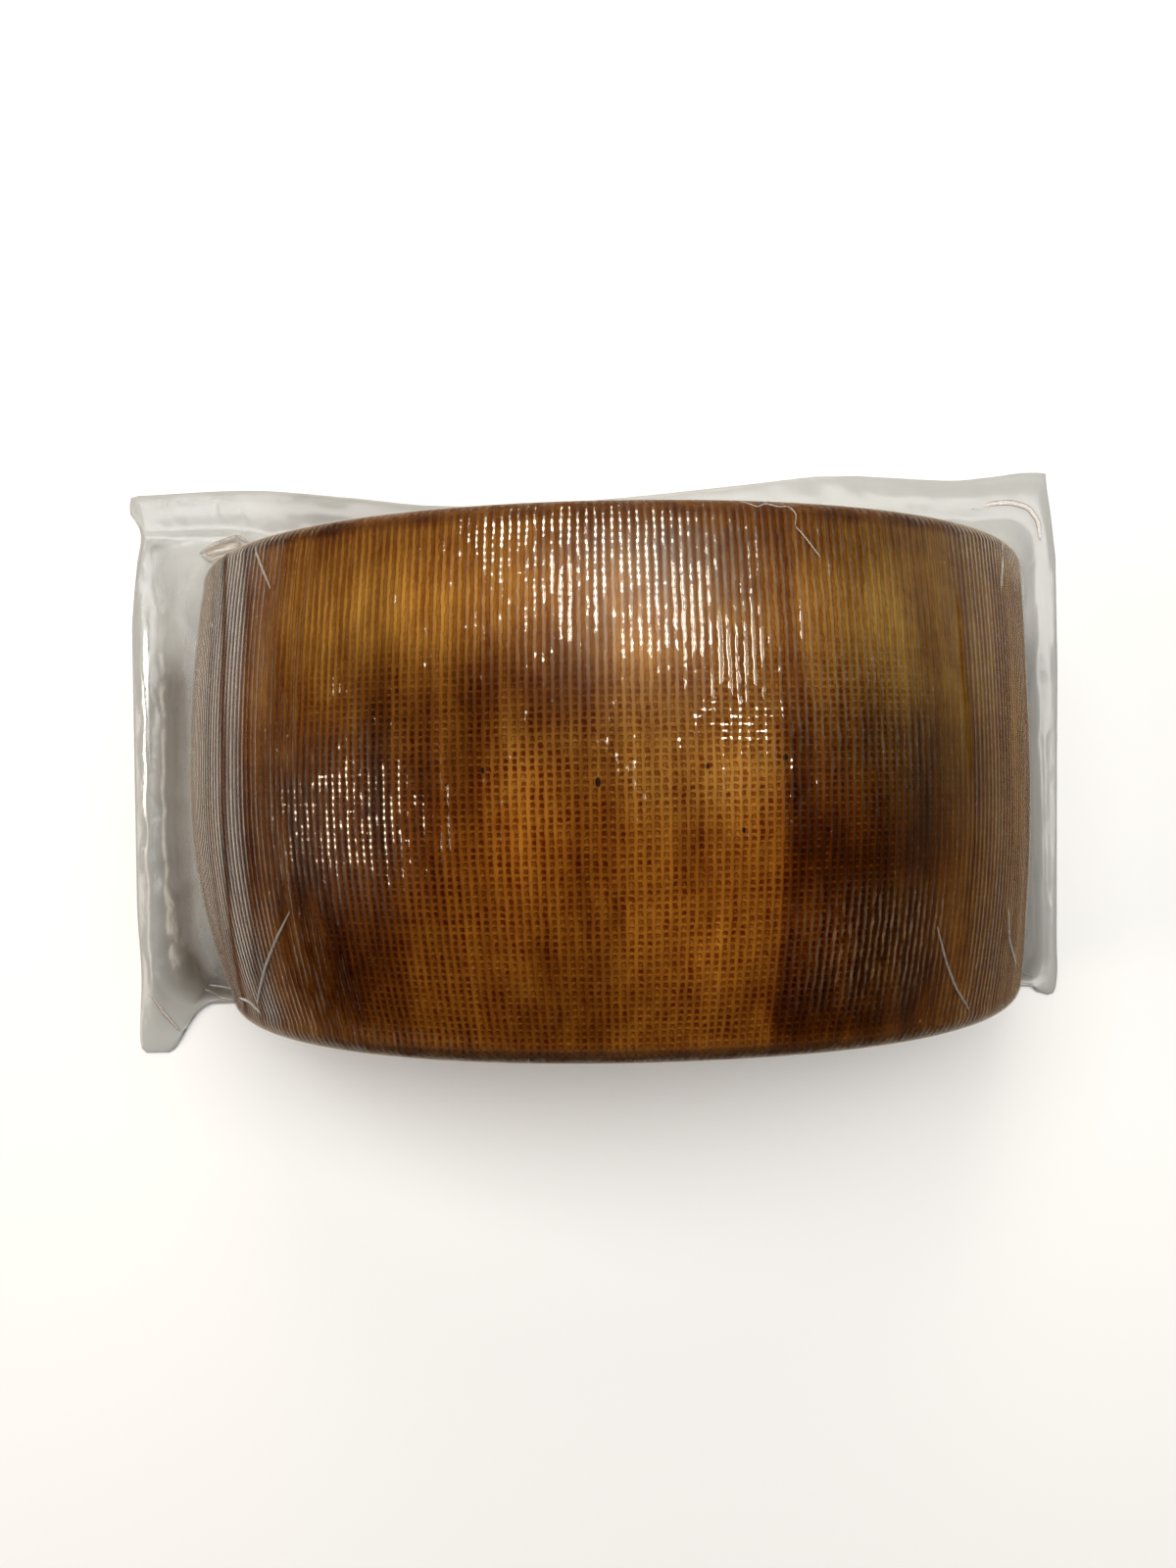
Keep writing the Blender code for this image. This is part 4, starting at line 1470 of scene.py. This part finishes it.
def make_stage():
    """A pale floor, three soft lamps, a faint sky and the camera."""
    data = bpy.data.meshes.new("floor")
    body = bmesh.new()
    bmesh.ops.create_grid(body, x_segments=8, y_segments=8, size=FLOOR_SIDE / 2.0)
    body.to_mesh(data)
    body.free()
    data.materials.append(floor_material())
    floor = add_to_scene("floor", data)
    floor.location.z = -FLOOR_DROP

    for name, lamp in LAMPS.items():
        area_lamp(name, *lamp)

    world = bpy.data.worlds.new("studio")
    world.use_nodes = True
    background = world.node_tree.nodes["Background"]
    background.inputs["Color"].default_value = SKY_COLOUR
    background.inputs["Strength"].default_value = SKY
    bpy.context.scene.world = world
    bpy.context.scene.view_settings.view_transform = "Standard"

    lens = bpy.data.cameras.new("camera")
    lens.sensor_width = SENSOR
    lens.lens = FOCUS_PIXELS * SENSOR / PHOTO_PIXELS
    lens.clip_start, lens.clip_end = 0.01, 10.0
    camera = add_to_scene("camera", lens)
    camera.location = CAMERA_PLACE
    camera.rotation_euler = (0.0, 0.0, CAMERA_TURN)
    bpy.context.scene.camera = camera


# ---------------------------------------------------------------- operators and panel


def carry(piece, slot, *nodes):
    """Ties a piece to the body and hides the nodes that it replaces. Its slot is not used."""
    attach(piece, "root")
    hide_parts(*nodes)


class CHEESE_OT_body(bpy.types.Operator):
    """Make the half wheel with its rind and cut face"""

    bl_idname = "cheese.body"
    bl_label = "Cheese body"

    def execute(self, context):
        carry(make_cheese_body(), "rind", "cheese")
        return {"FINISHED"}


class CHEESE_OT_clinging_film(bpy.types.Operator):
    """Make the film that clings to the rind"""

    bl_idname = "cheese.clinging_film"
    bl_label = "Clinging film"

    def execute(self, context):
        carry(make_clinging_film(), "film", "bag")
        return {"FINISHED"}


class CHEESE_OT_border(bpy.types.Operator):
    """Make the bag's slope, border and back sheet"""

    bl_idname = "cheese.border"
    bl_label = "Bag border"

    def execute(self, context):
        carry(make_border(), "film", "bag")
        return {"FINISHED"}


class CHEESE_OT_creases(bpy.types.Operator):
    """Make the film's creases, once its border is there"""

    bl_idname = "cheese.creases"
    bl_label = "Film creases"

    def execute(self, context):
        carry(make_creases(bpy.data.objects["film_border"]), "film", "bag")
        return {"FINISHED"}


class CHEESE_OT_stage(bpy.types.Operator):
    """Make the floor, the lamps and the camera"""

    bl_idname = "cheese.stage"
    bl_label = "Stage"

    def execute(self, context):
        make_stage()
        return {"FINISHED"}


class CHEESE_PT_panel(bpy.types.Panel):
    """Lists the steps and their sizes and colours"""

    bl_idname = "CHEESE_PT_panel"
    bl_label = "Aged sheep cheese"
    bl_space_type = "VIEW_3D"
    bl_region_type = "UI"
    bl_category = "Cheese"

    def draw(self, context):
        column = self.layout.column()
        for step in STEPS:
            column.operator(step.bl_idname)
        for group in ("cheese_sizes", "rind_look", "film_look"):
            held = getattr(context.scene, group)
            for name in held.__annotations__:
                column.prop(held, name)


GROUPS = {"cheese_sizes": CheeseSizes, "rind_look": RindLook, "film_look": FilmLook}
STEPS = (
    CHEESE_OT_body, CHEESE_OT_clinging_film, CHEESE_OT_border, CHEESE_OT_creases, CHEESE_OT_stage,
)  # fmt: skip


def register():
    for made in (*GROUPS.values(), *STEPS, CHEESE_PT_panel):
        bpy.utils.register_class(made)
    for name, group in GROUPS.items():
        setattr(bpy.types.Scene, name, bpy.props.PointerProperty(type=group))


def unregister():
    for name in GROUPS:
        delattr(bpy.types.Scene, name)
    for made in (CHEESE_PT_panel, *STEPS, *GROUPS.values()):
        bpy.utils.unregister_class(made)


def main():
    register()
    bpy.ops.cheese.body()
    bpy.ops.cheese.clinging_film()
    bpy.ops.cheese.border()
    bpy.ops.cheese.creases()
    bpy.ops.cheese.stage()


if __name__ == "__main__":
    main()
